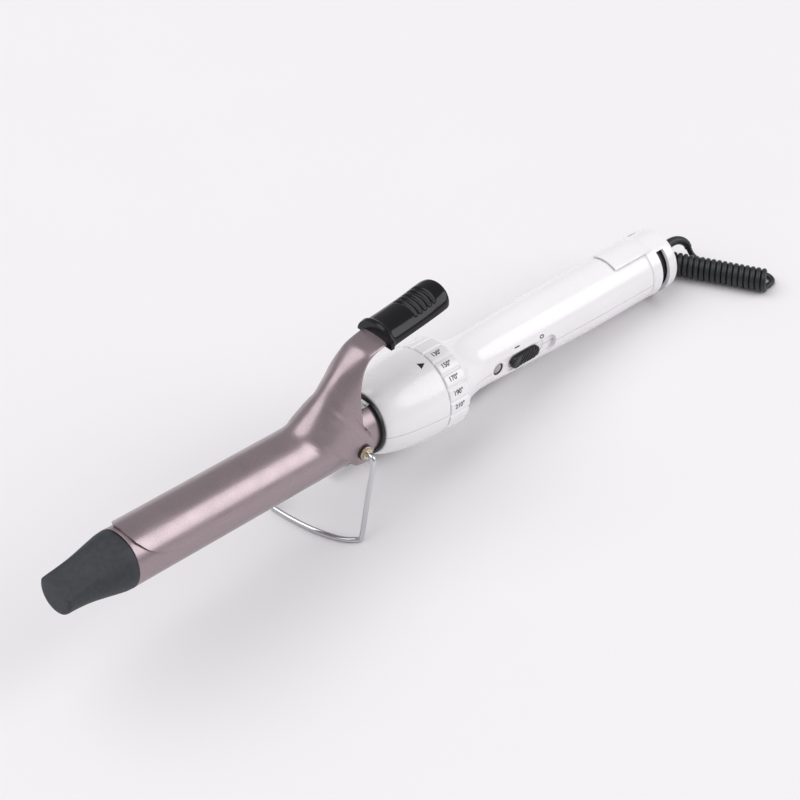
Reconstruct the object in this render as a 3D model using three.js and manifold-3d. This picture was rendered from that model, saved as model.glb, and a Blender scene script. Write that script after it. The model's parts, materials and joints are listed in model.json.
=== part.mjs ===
// Curling iron with a spring clamp, thermostat dial, slide switch, wire stand and curly mains cord.
// Units are millimetres. The iron is drawn along +X from tip to cord end, then tilted so that its
// wire stand and the rear edge of the handle both touch the floor (z = 0).
import * as THREE from 'three';
import { mergeVertices } from 'three/addons/utils/BufferGeometryUtils.js';
import Module from 'manifold-3d';

const wasm = await Module();
wasm.setup();

// ---------------------------------------------------------------- driving dimensions
const GAP = 0.3; // clearance between separate pieces
const SEG = 40; // facets round the body

const BARREL_R = 12.5;
const BARREL_WALL = 0.9;
const BARREL_END = 138; // hidden rear end of the barrel tube
const TIP_LEN = 31;
const TIP_SPIGOT = 9;

const CLAMP_GAP = 0.45; // jaw sheet to barrel
const CLAMP_T = 0.75; // jaw sheet thickness
const CLAMP_FRONT = 1.5;
const CLAMP_EDGE_DEG = 12.5; // jaw's long edge, degrees above the mid plane
const RAMP_START = 88; // where the jaw starts to rise into the lever
const LEVER_Z = 44.2; // top of the lever plate
const LEVER_HALF_W = 7;
const LEVER_END = 160;
const THUMB_SLOPE_DEG = 8.5;

const PIVOT_X = 118;
const SCREW_FACE_Y = 16.6;
const WIRE_R = 1.15; // stand wire
const STAND_HALF_W = 20;
const STAND_DROP = 43.5; // pivot to the wire's lower corner
const STAND_SWEEP = 14.4; // how far the foot bar runs forward at the far side

const RING_X = 129.3; // black heat ring, front face
const RING_R = 14.0;
const BELL_X = 129.9; // housing front face
const DIAL_X = 169; // dial ring, middle
const DIAL_LEN = 11.6;
const DIAL_R = 20.5;
const DIAL_PADS = 20;
const DIAL_TEETH = 36;
const PINION_TEETH = 12;
const GEAR_MODULE = 1.0;
const SHELL_WALL = 1.9;
const HOUSING_END = 302.3;
const HANDLE_R = 14.3;

const SWITCH_X = 217.2; // knob centre when on
const SWITCH_TRAVEL = 7;
const LAMP_X = 201.5;
const END_X = 319;
const END_R = 14.5;
const SLOT_X0 = 308.6;
const SLOT_X1 = 313.4;
const SLOT_HALF_DEG = 33; // bridge half angle at the top
const DRUM_R = 12.1;

const CORD_R = 1.3;
const COIL_R = 5.5; // outer radius of the curly part

// Outer profile of the housing [x, r], front of the dial and behind it
const BELL = [[BELL_X, 13.9], [130.4, 14.35], [133.5, 15.75], [137, 16.9], [141.5, 18.0], [146, 18.8],
  [152, 19.6], [158, 20.1], [162.8, 20.3]];
const NECK = [[175.2, 19.0], [176.6, 17.7], [178.6, 16.5], [181, 15.4], [184, 14.3], [188, 13.25],
  [193, 12.6], [199, 12.5], [206, 12.75], [215, 13.05], [230, 13.5], [245, 13.9], [260, 14.2],
  [272, HANDLE_R], [HOUSING_END, HANDLE_R]];
const GROOVE_R = DIAL_TEETH * GEAR_MODULE / 2 - 0.8 - GAP; // land that carries the dial
const GROOVE = [[162.8, GROOVE_R], [175.2, GROOVE_R]];

const RAD = Math.PI / 180;

// ---------------------------------------------------------------- materials
const mat = (color, metalness, roughness) =>
  new THREE.MeshStandardMaterial({ color, metalness, roughness });
const MAT = {
  rose: () => mat(0xa98f95, 0.75, 0.38),
  charcoal: () => mat(0x2f3134, 0.0, 0.75),
  black: () => mat(0x141518, 0.0, 0.25),
  white: () => mat(0xece9ee, 0.0, 0.2),
  chrome: () => mat(0xd6d8dc, 1.0, 0.12),
  brass: () => mat(0xb79b62, 1.0, 0.3),
  steel: () => mat(0x9a9da2, 1.0, 0.35),
  alu: () => mat(0xbfc2c6, 1.0, 0.4),
  ceramic: () => mat(0xe8e4da, 0.0, 0.5),
  board: () => mat(0x2c5a38, 0.0, 0.5),
  lens: () => mat(0xd8a0a0, 0.0, 0.1),
  amber: () => mat(0xc08a30, 0.0, 0.45),
  cord: () => mat(0x17181a, 0.0, 0.5),
  red: () => mat(0x8a2a25, 0.0, 0.5),
  blue: () => mat(0x2a3f7a, 0.0, 0.5),
};

// ---------------------------------------------------------------- solid helpers
function volumeOf(geo) {
  const p = geo.attributes.position, ix = geo.index;
  const a = new THREE.Vector3(), b = new THREE.Vector3(), c = new THREE.Vector3();
  let v = 0;
  for (let i = 0; i < ix.count; i += 3) {
    a.fromBufferAttribute(p, ix.getX(i));
    b.fromBufferAttribute(p, ix.getX(i + 1));
    c.fromBufferAttribute(p, ix.getX(i + 2));
    v += a.dot(b.cross(c)) / 6;
  }
  return v;
}

function toManifold(source) {
  let geo = source.clone();
  geo.deleteAttribute('normal');
  geo.deleteAttribute('uv');
  geo = mergeVertices(geo, 1e-4);
  const ix = Array.from(geo.index.array);
  const clean = [];
  for (let i = 0; i < ix.length; i += 3) {
    const [a, b, c] = [ix[i], ix[i + 1], ix[i + 2]];
    if (a !== b && b !== c && a !== c) clean.push(a, b, c);
  }
  geo.setIndex(clean);
  if (volumeOf(geo) < 0) {
    for (let i = 0; i < clean.length; i += 3) [clean[i], clean[i + 1]] = [clean[i + 1], clean[i]];
  }
  return new wasm.Manifold(new wasm.Mesh({
    numProp: 3,
    vertProperties: new Float32Array(geo.attributes.position.array),
    triVerts: new Uint32Array(clean),
  }));
}

function toGeometry(solid) {
  const m = solid.getMesh();
  const geo = new THREE.BufferGeometry();
  const n = m.numProp;
  const pos = new Float32Array(m.vertProperties.length / n * 3);
  for (let i = 0; i < pos.length / 3; i += 1) {
    for (let k = 0; k < 3; k += 1) pos[i * 3 + k] = m.vertProperties[i * n + k];
  }
  geo.setAttribute('position', new THREE.BufferAttribute(pos, 3));
  geo.setIndex(Array.from(m.triVerts));
  geo.computeVertexNormals();
  return geo;
}

// Closed profile [[x, r], ...] turned about the X axis
function turned(profile, seg = SEG) {
  const pts = profile.map(([x, r]) => new THREE.Vector2(Math.max(r, 0), x));
  const closed = profile[0][1] > 0 || profile[profile.length - 1][1] > 0;
  if (closed) pts.push(pts[0].clone());
  const geo = new THREE.LatheGeometry(pts, seg);
  geo.rotateZ(-Math.PI / 2);
  return toManifold(geo);
}

const tubeX = (x0, x1, ro, ri, seg = SEG) => turned([[x0, ri], [x0, ro], [x1, ro], [x1, ri]], seg);
const rodX = (x0, x1, r, seg = 24) => turned([[x0, 0], [x0, r], [x1, r], [x1, 0]], seg);

function box(x0, x1, y0, y1, z0, z1) {
  const geo = new THREE.BoxGeometry(x1 - x0, y1 - y0, z1 - z0);
  geo.translate((x0 + x1) / 2, (y0 + y1) / 2, (z0 + z1) / 2);
  return toManifold(geo);
}

// Cylinder along Y or Z
function rod(axis, a0, a1, r, u, v, seg = 24) {
  const geo = new THREE.CylinderGeometry(r, r, a1 - a0, seg);
  if (axis === 'z') geo.rotateX(Math.PI / 2);
  const mid = (a0 + a1) / 2;
  if (axis === 'z') geo.translate(u, v, mid);
  else geo.translate(u, mid, v);
  return toManifold(geo);
}

// Rings of equal point counts joined into one closed body
function loft(rings) {
  const n = rings[0].length;
  const pos = [];
  rings.forEach((ring) => ring.forEach((p) => pos.push(...p)));
  const ix = [];
  for (let i = 0; i + 1 < rings.length; i += 1) {
    for (let j = 0; j < n; j += 1) {
      const a = i * n + j, b = i * n + (j + 1) % n, c = a + n, d = b + n;
      ix.push(a, b, d, a, d, c);
    }
  }
  [0, rings.length - 1].forEach((k) => {
    const mid = [0, 0, 0];
    rings[k].forEach((p) => p.forEach((v, q) => { mid[q] += v / n; }));
    const centre = pos.length / 3;
    pos.push(...mid);
    for (let j = 0; j < n; j += 1) {
      const a = k * n + j, b = k * n + (j + 1) % n;
      if (k === 0) ix.push(centre, b, a);
      else ix.push(centre, a, b);
    }
  });
  const geo = new THREE.BufferGeometry();
  geo.setAttribute('position', new THREE.Float32BufferAttribute(pos, 3));
  geo.setIndex(ix);
  return toManifold(geo);
}

// Round bar of one or several radii along a list of points
function sweep(points, radius, sides = 10) {
  const pts = points.map((p) => new THREE.Vector3(...p));
  const tangent = pts.map((p, i) => {
    const a = pts[Math.max(i - 1, 0)], b = pts[Math.min(i + 1, pts.length - 1)];
    return b.clone().sub(a).normalize();
  });
  let u = Math.abs(tangent[0].z) < 0.9 ? new THREE.Vector3(0, 0, 1) : new THREE.Vector3(1, 0, 0);
  const rings = pts.map((p, i) => {
    u = u.clone().addScaledVector(tangent[i], -u.dot(tangent[i])).normalize();
    const w = tangent[i].clone().cross(u);
    const r = Array.isArray(radius) ? radius[i] : radius;
    return Array.from({ length: sides }, (_, k) => {
      const a = 2 * Math.PI * (k + 0.5) / sides;
      return p.clone().addScaledVector(u, r * Math.cos(a)).addScaledVector(w, r * Math.sin(a)).toArray();
    });
  });
  return loft(rings);
}

// Smooth path through a few hand-placed points
function smooth(points, steps) {
  const curve = new THREE.CatmullRomCurve3(points.map((p) => new THREE.Vector3(...p)), false, 'centripetal');
  return curve.getSpacedPoints(steps).map((p) => p.toArray());
}

function add(parent, name, solid, material, at = [0, 0, 0]) {
  const geo = solid.isBufferGeometry ? solid : toGeometry(solid);
  geo.translate(-at[0], -at[1], -at[2]);
  const mesh = new THREE.Mesh(geo, material);
  mesh.name = name;
  mesh.position.set(...at);
  parent.add(mesh);
  return mesh;
}

// Linear interpolation in a [x, y] table
function lookup(table, x) {
  const up = table[0][0] < table[table.length - 1][0];
  const t = up ? table : table.slice().reverse();
  if (x <= t[0][0]) return t[0][1];
  for (let i = 1; i < t.length; i += 1) {
    if (x <= t[i][0]) {
      const f = (x - t[i - 1][0]) / (t[i][0] - t[i - 1][0]);
      return t[i - 1][1] + f * (t[i][1] - t[i - 1][1]);
    }
  }
  return t[t.length - 1][1];
}

const root = new THREE.Group();
root.name = 'curling_iron';
const iron = new THREE.Group(); // everything except the loose cord
iron.name = 'iron';
root.add(iron);

// ---------------------------------------------------------------- cool tip
const TIP_R = [[0, BARREL_R + 0.1], [-3, 12.4], [-7, 11.7], [-11.5, 10.8], [-15, 10.1], [-19, 9.45],
  [-23, 9.0], [-27, 8.8], [-TIP_LEN + 0.8, 8.8], [-TIP_LEN, 8.3]];
const TIP_TOP = [[0, BARREL_R + 0.1], [-3, 12.2], [-6, 11.5], [-12, 9.3], [-18, 6.8], [-24, 4.5],
  [-TIP_LEN + 0.8, 2.5], [-TIP_LEN, 2.0]];
const tipRings = TIP_R.map(([x, r]) => {
  const top = Math.min(lookup(TIP_TOP, x), r);
  return Array.from({ length: 36 }, (_, k) => {
    const a = 2 * Math.PI * k / 36, up = Math.sin(a);
    return [x, r * Math.cos(a), up < 0 ? r * up : top * up ** (0.75 + 0.25 * top / r)];
  });
});
const tip = loft(tipRings)
  .add(rodX(-1, TIP_SPIGOT, BARREL_R - BARREL_WALL - GAP, 32))
  .subtract(rodX(1.5, TIP_SPIGOT + 1, BARREL_R - BARREL_WALL - GAP - 1.8, 32));
add(iron, 'cool_tip', tip, MAT.charcoal());

// ---------------------------------------------------------------- barrel and heater
add(iron, 'barrel', tubeX(GAP, BARREL_END, BARREL_R, BARREL_R - BARREL_WALL), MAT.rose());

const SPREADER_R = BARREL_R - BARREL_WALL - GAP;
const HEATER_X0 = 22, HEATER_X1 = 100;
const PTC_HALF = 1.2, PTC_W = 7, PLATE_T = 0.4;
for (const [name, s] of [['heat_spreader_upper', 1], ['heat_spreader_lower', -1]]) {
  const z0 = PTC_HALF + PLATE_T + 2 * GAP;
  const half = s > 0 ? box(HEATER_X0, HEATER_X1, -20, 20, z0, 20) : box(HEATER_X0, HEATER_X1, -20, 20, -20, -z0);
  let body = rodX(HEATER_X0, HEATER_X1, SPREADER_R, 40).intersect(half);
  body = body.subtract(rodX(HEATER_X0 - 1, HEATER_X1 + 1, 2.2, 12).translate([0, 0, s * 6.5]));
  add(iron, name, body, MAT.alu());
  const e = s > 0 ? [PTC_HALF + GAP, PTC_HALF + GAP + PLATE_T] : [-PTC_HALF - GAP - PLATE_T, -PTC_HALF - GAP];
  const plate = box(HEATER_X0 + 4, HEATER_X1 - 4, -PTC_W, PTC_W, ...e)
    .add(box(HEATER_X1 - 5, HEATER_X1 + 8, s * 3.5 - 1.6, s * 3.5 + 1.6, ...e));
  add(iron, s > 0 ? 'electrode_upper' : 'electrode_lower', plate, MAT.brass());
}
add(iron, 'ptc_heater', box(HEATER_X0 + 6, HEATER_X1 - 6, -PTC_W - 1, PTC_W + 1, -PTC_HALF, PTC_HALF), MAT.ceramic());
add(iron, 'temperature_sensor', rodX(HEATER_X1 - 22, HEATER_X1 + 6, 1.5, 12), MAT.ceramic(), [0, 0, 0])
  .position.set(0, 0, 6.5);
add(iron, 'thermal_fuse', rodX(112, 124, 2.0, 16), MAT.steel(), [0, 0, 0]).position.set(0, 6.4, 4);

// ---------------------------------------------------------------- clamp: ribs from edge to edge
const CLAMP_RO = BARREL_R + CLAMP_GAP + CLAMP_T;
const onRound = (x, deg) => [x, CLAMP_RO * Math.cos(deg * RAD), CLAMP_RO * Math.sin(deg * RAD)];
const slopeZ = (x) => LEVER_Z + (x - 134) * Math.tan(THUMB_SLOPE_DEG * RAD);
// [edge point x, half width, z], [top x, top z]
const RIBS = [
  [onRound(CLAMP_FRONT + 1.1, 58), [CLAMP_FRONT, CLAMP_RO]],
  [onRound(5.5, 40), [4.6, CLAMP_RO]],
  [onRound(8.1, 31), [7.6, CLAMP_RO]],
  [onRound(11.2, 24), [11, CLAMP_RO]],
  [onRound(15, 18), [15, CLAMP_RO]],
  [onRound(20, 14.2), [20, CLAMP_RO]],
  [onRound(27, CLAMP_EDGE_DEG), [27, CLAMP_RO]],
  [onRound(46, CLAMP_EDGE_DEG), [44, CLAMP_RO]],
  [onRound(65, CLAMP_EDGE_DEG), [61, CLAMP_RO]],
  [onRound(82, CLAMP_EDGE_DEG), [76, CLAMP_RO]],
  [onRound(94, CLAMP_EDGE_DEG), [RAMP_START - 4, CLAMP_RO]],
  [onRound(101, CLAMP_EDGE_DEG), [RAMP_START, CLAMP_RO + 0.1]],
  [[PIVOT_X - 12.5, 13.75, 2.0], [90.3, 14.2]],
  [[PIVOT_X - 9.5, 14.0, -0.3], [92.4, 15.0]],
  [[PIVOT_X - 6.5, 14.3, -3.3], [94.4, 16.2]],
  [[PIVOT_X - 3.2, 14.4, -5.5], [96.4, 17.8]],
  [[PIVOT_X + 0.6, 14.4, -6.1], [98.4, 19.6]],
  [[PIVOT_X + 4.0, 14.4, -4.7], [100.4, 21.6]],
  [[PIVOT_X + 5.8, 14.35, -1.7], [102.4, 23.6]],
  [[PIVOT_X + 5.6, 14.2, 2.6], [104.2, 25.5]],
  [[PIVOT_X + 3.4, 13.95, 6.2], [106, 27.5]],
  [[PIVOT_X + 0.9, 13.6, 9.6], [107.8, 29.6]],
  [[PIVOT_X - 0.4, 12.9, 13.4], [109.6, 31.6]],
  [[PIVOT_X - 0.8, 12.0, 17.6], [111.4, 33.5]],
  [[PIVOT_X - 0.8, 11.0, 22.2], [113.4, 35.5]],
  [[PIVOT_X - 0.4, 9.9, 27.0], [115.4, 37.3]],
  [[PIVOT_X + 0.8, 8.8, 31.6], [117.6, 39.1]],
  [[PIVOT_X + 2.8, 7.8, 36.0], [120.2, 40.9]],
  [[PIVOT_X + 6.0, 7.2, 39.7], [123.6, 42.6]],
  [[PIVOT_X + 10.6, LEVER_HALF_W, LEVER_Z - 2.4], [128.2, LEVER_Z - 0.8]],
  [[134, LEVER_HALF_W, LEVER_Z - 1.2], [134, LEVER_Z]],
  [[LEVER_END, LEVER_HALF_W - 0.6, slopeZ(LEVER_END) - 1.2], [LEVER_END, slopeZ(LEVER_END)]],
];
const RIB_N = 18;
function ribPoint(rib, j) {
  const [[xb, yb, zb], [xt, zt]] = rib;
  const a0 = Math.atan2(zb > 25 ? 0 : zb, yb);
  const s = Math.abs(2 * j / RIB_N - 1); // 1 at either edge, 0 on top
  const a = a0 + (Math.PI / 2 - a0) * (1 - s);
  const f = (Math.sin(a) - Math.sin(a0)) / (1 - Math.sin(a0));
  const y = a < 0 ? yb : yb * Math.cos(a) / Math.cos(Math.max(a0, 0));
  return [xb + (xt - xb) * f, j < RIB_N / 2 ? -y : y, zb + (zt - zb) * f];
}
const clampGrid = RIBS.map((rib) => Array.from({ length: RIB_N + 1 }, (_, j) => ribPoint(rib, j)));
// Sheet of one thickness: outer grid, inner grid and the strip that joins them
function sheetBody(grid, thickness) {
  const nu = grid.length, nv = grid[0].length;
  const at = (i, j) => new THREE.Vector3(...grid[i][j]);
  const inner = grid.map((row, i) => row.map((p, j) => {
    const du = at(Math.min(i + 1, nu - 1), j).sub(at(Math.max(i - 1, 0), j));
    const dv = at(i, Math.min(j + 1, nv - 1)).sub(at(i, Math.max(j - 1, 0)));
    const n = dv.cross(du).normalize();
    return at(i, j).addScaledVector(n, thickness).toArray();
  }));
  const pos = [...grid.flat(2), ...inner.flat(2)];
  const off = nu * nv;
  const ix = [];
  const id = (i, j) => i * nv + j;
  const quad = (a, b, c, d) => ix.push(a, b, c, a, c, d);
  for (let i = 0; i + 1 < nu; i += 1) {
    for (let j = 0; j + 1 < nv; j += 1) {
      quad(id(i, j), id(i, j + 1), id(i + 1, j + 1), id(i + 1, j));
      quad(off + id(i, j), off + id(i + 1, j), off + id(i + 1, j + 1), off + id(i, j + 1));
    }
  }
  const rim = [];
  for (let j = 0; j < nv; j += 1) rim.push(id(0, j));
  for (let i = 1; i < nu; i += 1) rim.push(id(i, nv - 1));
  for (let j = nv - 2; j >= 0; j -= 1) rim.push(id(nu - 1, j));
  for (let i = nu - 2; i > 0; i -= 1) rim.push(id(i, 0));
  rim.forEach((a, k) => {
    const b = rim[(k + 1) % rim.length];
    quad(b, a, off + a, off + b);
  });
  const geo = new THREE.BufferGeometry();
  geo.setAttribute('position', new THREE.Float32BufferAttribute(pos, 3));
  geo.setIndex(ix);
  return toManifold(geo);
}
const SCREW_SHANK_R = 1.9;
const SCREW_BORE_R = WIRE_R + 0.25;
const EAR_HOLE_R = SCREW_SHANK_R + 0.25;
const THUMB_SCREW_X = 150;
let clamp = sheetBody(clampGrid, CLAMP_T);
clamp = clamp.subtract(rod('y', -20, 20, EAR_HOLE_R, PIVOT_X, 0));
clamp = clamp.subtract(rod('z', 30, 60, 1.5, THUMB_SCREW_X, 0, 16));
add(iron, 'clamp', clamp, MAT.rose());

// ---------------------------------------------------------------- thumb rest
const THUMB_X0 = 133.2, THUMB_X1 = 168.6;
function thumbRing(x, halfW, height, lift = 0) {
  const base = slopeZ(x) - 2.1 + lift;
  const pts = [];
  const n = 20;
  for (let k = 0; k <= n; k += 1) {
    const a = Math.PI * k / n;
    pts.push([x, halfW * Math.cos(a), base + height * Math.sin(a) ** 0.9]);
  }
  for (let k = 1; k < 6; k += 1) pts.push([x, -halfW + 2 * halfW * k / 6, base]);
  return pts;
}
const thumbSections = [
  [THUMB_X0, 9.6, 7.2, -0.4], [THUMB_X0 + 1.6, 9.9, 7.6, -0.3], [THUMB_X0 + 3.4, 9.4, 7.0, 0],
  [THUMB_X0 + 6.5, 9.0, 6.5, 0], [145, 8.9, 6.2, 0], [152, 8.9, 6.2, 0], [158, 8.9, 6.5, 0.1],
  [162, 8.9, 6.9, 0.2], [165, 8.8, 7.0, 0.4], [167, 8.4, 6.8, 0.5], [168.1, 7.6, 6.3, 0.7],
  [THUMB_X1, 6.4, 5.4, 1.1],
];
let thumb = loft(thumbSections.map((s) => thumbRing(...s)));
const pocket = loft([[THUMB_X0 - 3, 0], [LEVER_END + GAP, 0]].map(([x]) => {
  const top = slopeZ(x) + GAP + 0.1;
  const w = LEVER_HALF_W + GAP;
  const ring = [];
  for (let k = 0; k <= 8; k += 1) {
    const a = Math.PI * k / 8;
    ring.push([x, w * Math.cos(a), top - 1.2 + 1.2 * Math.sin(a)]);
  }
  ring.push([x, -w, top - 8], [x, w, top - 8]);
  return ring;
}));
thumb = thumb.subtract(pocket);
for (let k = 0; k < 5; k += 1) {
  const x = 150.5 + k * 2.6;
  const top = slopeZ(x) - 2.1 + 6.2 + k * 0.12;
  const groove = new THREE.CylinderGeometry(11, 11, 0.9, 36);
  groove.rotateZ(Math.PI / 2);
  groove.translate(x, 0, top + 9.6 - 0.0);
  thumb = thumb.subtract(toManifold(groove).intersect(box(x - 1, x + 1, -6, 6, top - 0.9, top + 3)));
}
thumb = thumb.subtract(rod('z', 40, slopeZ(THUMB_SCREW_X) + 2.2, 1.05, THUMB_SCREW_X, 0, 16));
add(iron, 'thumb_rest', thumb, MAT.black());
const plateUnder = slopeZ(THUMB_SCREW_X) - CLAMP_T - GAP - 0.35;
add(iron, 'thumb_rivet', rod('z', plateUnder - 0.8, plateUnder, 2.4, THUMB_SCREW_X, 0, 16)
  .add(rod('z', plateUnder - 0.4, slopeZ(THUMB_SCREW_X) + 1.9, 0.8, THUMB_SCREW_X, 0, 16)), MAT.steel());

// ---------------------------------------------------------------- leaf spring under the lever
const SPRING_PATH = [[98.8, 15.9], [100.8, 17.8], [103.6, 20.6], [105.8, 22.3], [107.8, 22.8], [110.2, 22.2],
  [113, 20.2], [116.5, 17.2], [120, 15.0], [123.5, 13.75], [126.2, 13.35], [128.2, 13.9]];
function strip(path, halfW, thickness) {
  const ring = [];
  const n = path.length;
  const normal = (i) => {
    const a = path[Math.max(i - 1, 0)], b = path[Math.min(i + 1, n - 1)];
    const l = Math.hypot(b[0] - a[0], b[1] - a[1]);
    return [-(b[1] - a[1]) / l, (b[0] - a[0]) / l];
  };
  for (let i = 0; i < n; i += 1) {
    const m = normal(i);
    ring.push([path[i][0] + m[0] * thickness / 2, path[i][1] + m[1] * thickness / 2]);
  }
  for (let i = n - 1; i >= 0; i -= 1) {
    const m = normal(i);
    ring.push([path[i][0] - m[0] * thickness / 2, path[i][1] - m[1] * thickness / 2]);
  }
  const shape = new THREE.Shape(ring.map(([x, z]) => new THREE.Vector2(x, z)));
  const geo = new THREE.ExtrudeGeometry(shape, { depth: 2 * halfW, bevelEnabled: false });
  geo.translate(0, 0, -halfW);
  geo.rotateX(Math.PI / 2);
  return toManifold(geo);
}
const SPRING_HALF_W = 5.2;
add(iron, 'clamp_spring', strip(SPRING_PATH, 3.6, 0.5)
  .add(strip(SPRING_PATH, SPRING_HALF_W, 0.5).intersect(box(114.5, 140, -10, 10, 0, 30))), MAT.steel());

// ---------------------------------------------------------------- hinge saddle, screws, collars
const SADDLE_R = BARREL_R + 0.2;
const saddle = tubeX(PIVOT_X - 3.8, PIVOT_X + 3.8, SADDLE_R + 0.4, SADDLE_R, 48)
  .intersect(box(PIVOT_X - 5, PIVOT_X + 5, -20, 20, -20, 3.6))
  .subtract(rod('y', -20, 20, EAR_HOLE_R, PIVOT_X, 0));
add(iron, 'hinge_saddle', saddle, MAT.steel());
for (const [side, s] of [['near', -1], ['far', 1]]) {
  const span = (a, b) => (s < 0 ? [-b, -a] : [a, b]);
  const collar = rod('y', ...span(14.75, 15.15), 3.4, PIVOT_X, 0)
    .subtract(rod('y', ...span(14, 16), EAR_HOLE_R, PIVOT_X, 0));
  add(iron, `pivot_washer_${side}`, collar, MAT.black(), [PIVOT_X, 0, 0]);
  const screw = rod('y', ...span(15.4, SCREW_FACE_Y), 2.8, PIVOT_X, 0)
    .add(rod('y', ...span(12.85, 15.7), SCREW_SHANK_R, PIVOT_X, 0))
    .subtract(rod('y', ...span(13.4, 20), SCREW_BORE_R, PIVOT_X, 0, 16));
  add(iron, `pivot_screw_${side}`, screw, MAT.brass(), [PIVOT_X, 0, 0]);
}

// ---------------------------------------------------------------- tilt that puts both feet down
const CONTACT_X = END_X - 0.8;
const footDX = CONTACT_X - PIVOT_X, footDZ = STAND_DROP - END_R;
const TILT = Math.atan2(footDZ, footDX) + Math.asin(WIRE_R / Math.hypot(footDX, footDZ));
const LIFT = Math.sin(TILT) * CONTACT_X + Math.cos(TILT) * END_R;

// ---------------------------------------------------------------- wire stand
const footZ = (dx) => -STAND_DROP - Math.abs(dx) * Math.tan(TILT); // stays in the floor plane
const leg = (side, dx, dy) => [[0, 13.9, 0], [0, 18.2, 0], [0, 19.5, -0.5], [0, STAND_HALF_W, -1.8],
  [dx * 0.33, STAND_HALF_W + dy * 0.33, -14], [dx * 0.66, STAND_HALF_W + dy * 0.66, -28],
  [dx, STAND_HALF_W + dy, footZ(dx) + 2.2]].map(([x, y, z]) => [PIVOT_X + x, side * y, z]);
// foot bar, swept forward on the far side
const foot = [[0.11, -18.8], [0.22, -17.4], [0.38, -15.0], [0.57, -9.9], [0.79, -0.2], [0.94, 11.0], [0.995, 18.8],
  [1, 21.2]].map(([f, y]) => [PIVOT_X - STAND_SWEEP * f, y, footZ(-STAND_SWEEP * f)]);
const standPts = [...leg(-1, -1.4, -0.9), ...foot, ...leg(1, -STAND_SWEEP + 0.2, 1.9).reverse()];
add(iron, 'stand_wire', sweep(standPts, WIRE_R, 8), MAT.chrome());

// ---------------------------------------------------------------- heat ring
add(iron, 'heat_ring', turned([[RING_X, BARREL_R + GAP], [RING_X, RING_R - 0.4], [RING_X + 0.4, RING_R],
  [RING_X + 1.4, RING_R], [RING_X + 1.4, 13.2], [RING_X + 3.6, 13.2], [RING_X + 3.6, BARREL_R + GAP]]), MAT.black());

// ---------------------------------------------------------------- housing halves
const frontX = RING_X + 1.4 + GAP;
const bell = [[frontX, 14.2], ...BELL.filter(([x]) => x > frontX + 0.3)];
const outer = [...bell, ...GROOVE, ...NECK];
const innerBack = NECK.slice().reverse().map(([x, r]) => [x === HOUSING_END ? x : x, r - SHELL_WALL]);
const innerProfile = [...innerBack.slice(0, -2), [177.2, GROOVE_R - SHELL_WALL], [161.2, GROOVE_R - SHELL_WALL],
  ...bell.slice().reverse().filter(([x]) => x > frontX + 2.5 && x < 160).map(([x, r]) => [x, r - SHELL_WALL]),
  [frontX + 2.0, 14.35 - 0.5], [frontX + 2.0, 13.2 + GAP], [frontX, 13.2 + GAP]];
const shell = turned([...outer, ...innerProfile]);
const SEAM = 0.12;

// Shallow recess, slots and windows shared by both halves
const REC_X0 = 197.6, REC_X1 = 236.4, REC_HALF = 4.1;
const recessFloor = -(12.5 - 0.75);
function stadium(x0, x1, half, y0, y1) {
  return box(x0 + half, x1 - half, y0, y1, -half, half)
    .add(rod('y', y0, y1, half, x0 + half, 0, 24))
    .add(rod('y', y0, y1, half, x1 - half, 0, 24));
}
const KNOB_HALF_L = 8.7, KNOB_HALF_H = 3.0, STEM_HALF = 2.2;
const cuts = stadium(REC_X0, REC_X1, REC_HALF, -20, recessFloor)
  .add(rod('y', -20, -8, 2.9, LAMP_X, 0, 24))
  .add(box(SWITCH_X - STEM_HALF - 0.6, SWITCH_X + STEM_HALF + SWITCH_TRAVEL + 0.6, -20, -8, -1.6, 1.6));
const windowCut = box(DIAL_X - 3.6, DIAL_X + 3.6, -7.2, 7.2, 10, 20);

const screwXs = [150, 196, 246, 290];
const bossZ = (x) => (x < 160 ? -10 : -5.5);
const boardZ = 3.0;
let upper = shell.intersect(box(100, 320, -30, 30, SEAM, 30)).subtract(cuts).subtract(windowCut);
let lower = shell.intersect(box(100, 320, -30, 30, -30, -SEAM)).subtract(cuts);
screwXs.forEach((x) => {
  const r = lookup([...bell, ...NECK], x) - SHELL_WALL;
  const boss = rod('z', -r - 0.6, bossZ(x), 2.6, x, 0, 16);
  lower = lower.add(boss)
    .subtract(rod('z', -30, bossZ(x) + 1, 1.4, x, 0, 16))
    .subtract(rod('z', -30, -r + 0.4, 2.3, x, 0, 16));
});
add(iron, 'housing_upper', upper, MAT.white());
add(iron, 'housing_lower', lower, MAT.white());
screwXs.forEach((x, i) => {
  const r = lookup([...bell, ...NECK], x) - SHELL_WALL;
  const top = bossZ(x) + 3.4;
  add(iron, `housing_screw_${i + 1}`, rod('z', -r - 1.0, -r + 0.1, 2.0, x, 0, 16)
    .add(rod('z', -r - 0.4, top, 1.1, x, 0, 12)), MAT.steel(), [x, 0, 0]);
});

// ---------------------------------------------------------------- thermostat dial, pinion, potentiometer
const pitchR = DIAL_TEETH * GEAR_MODULE / 2;
function gearRing(teeth, tipR, rootR, tipShare, rootShare, phase = 0) {
  const pts = [];
  for (let k = 0; k < teeth; k += 1) {
    const step = 2 * Math.PI / teeth, c = step * (k + phase);
    pts.push([rootR, c - step * rootShare / 2], [tipR, c - step * tipShare / 2],
      [tipR, c + step * tipShare / 2], [rootR, c + step * rootShare / 2]);
  }
  return pts.map(([r, a]) => new THREE.Vector2(r * Math.cos(a), r * Math.sin(a)));
}
const dialX0 = DIAL_X - DIAL_LEN / 2 + 0.15, dialX1 = DIAL_X + DIAL_LEN / 2 - 0.15;
const spaceShape = new THREE.Shape(gearRing(DIAL_TEETH, pitchR - 0.8, pitchR + 1.0, 0.22, 0.62, 0.5));
const boreGeo = new THREE.ExtrudeGeometry(spaceShape, { depth: 9, bevelEnabled: false });
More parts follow.
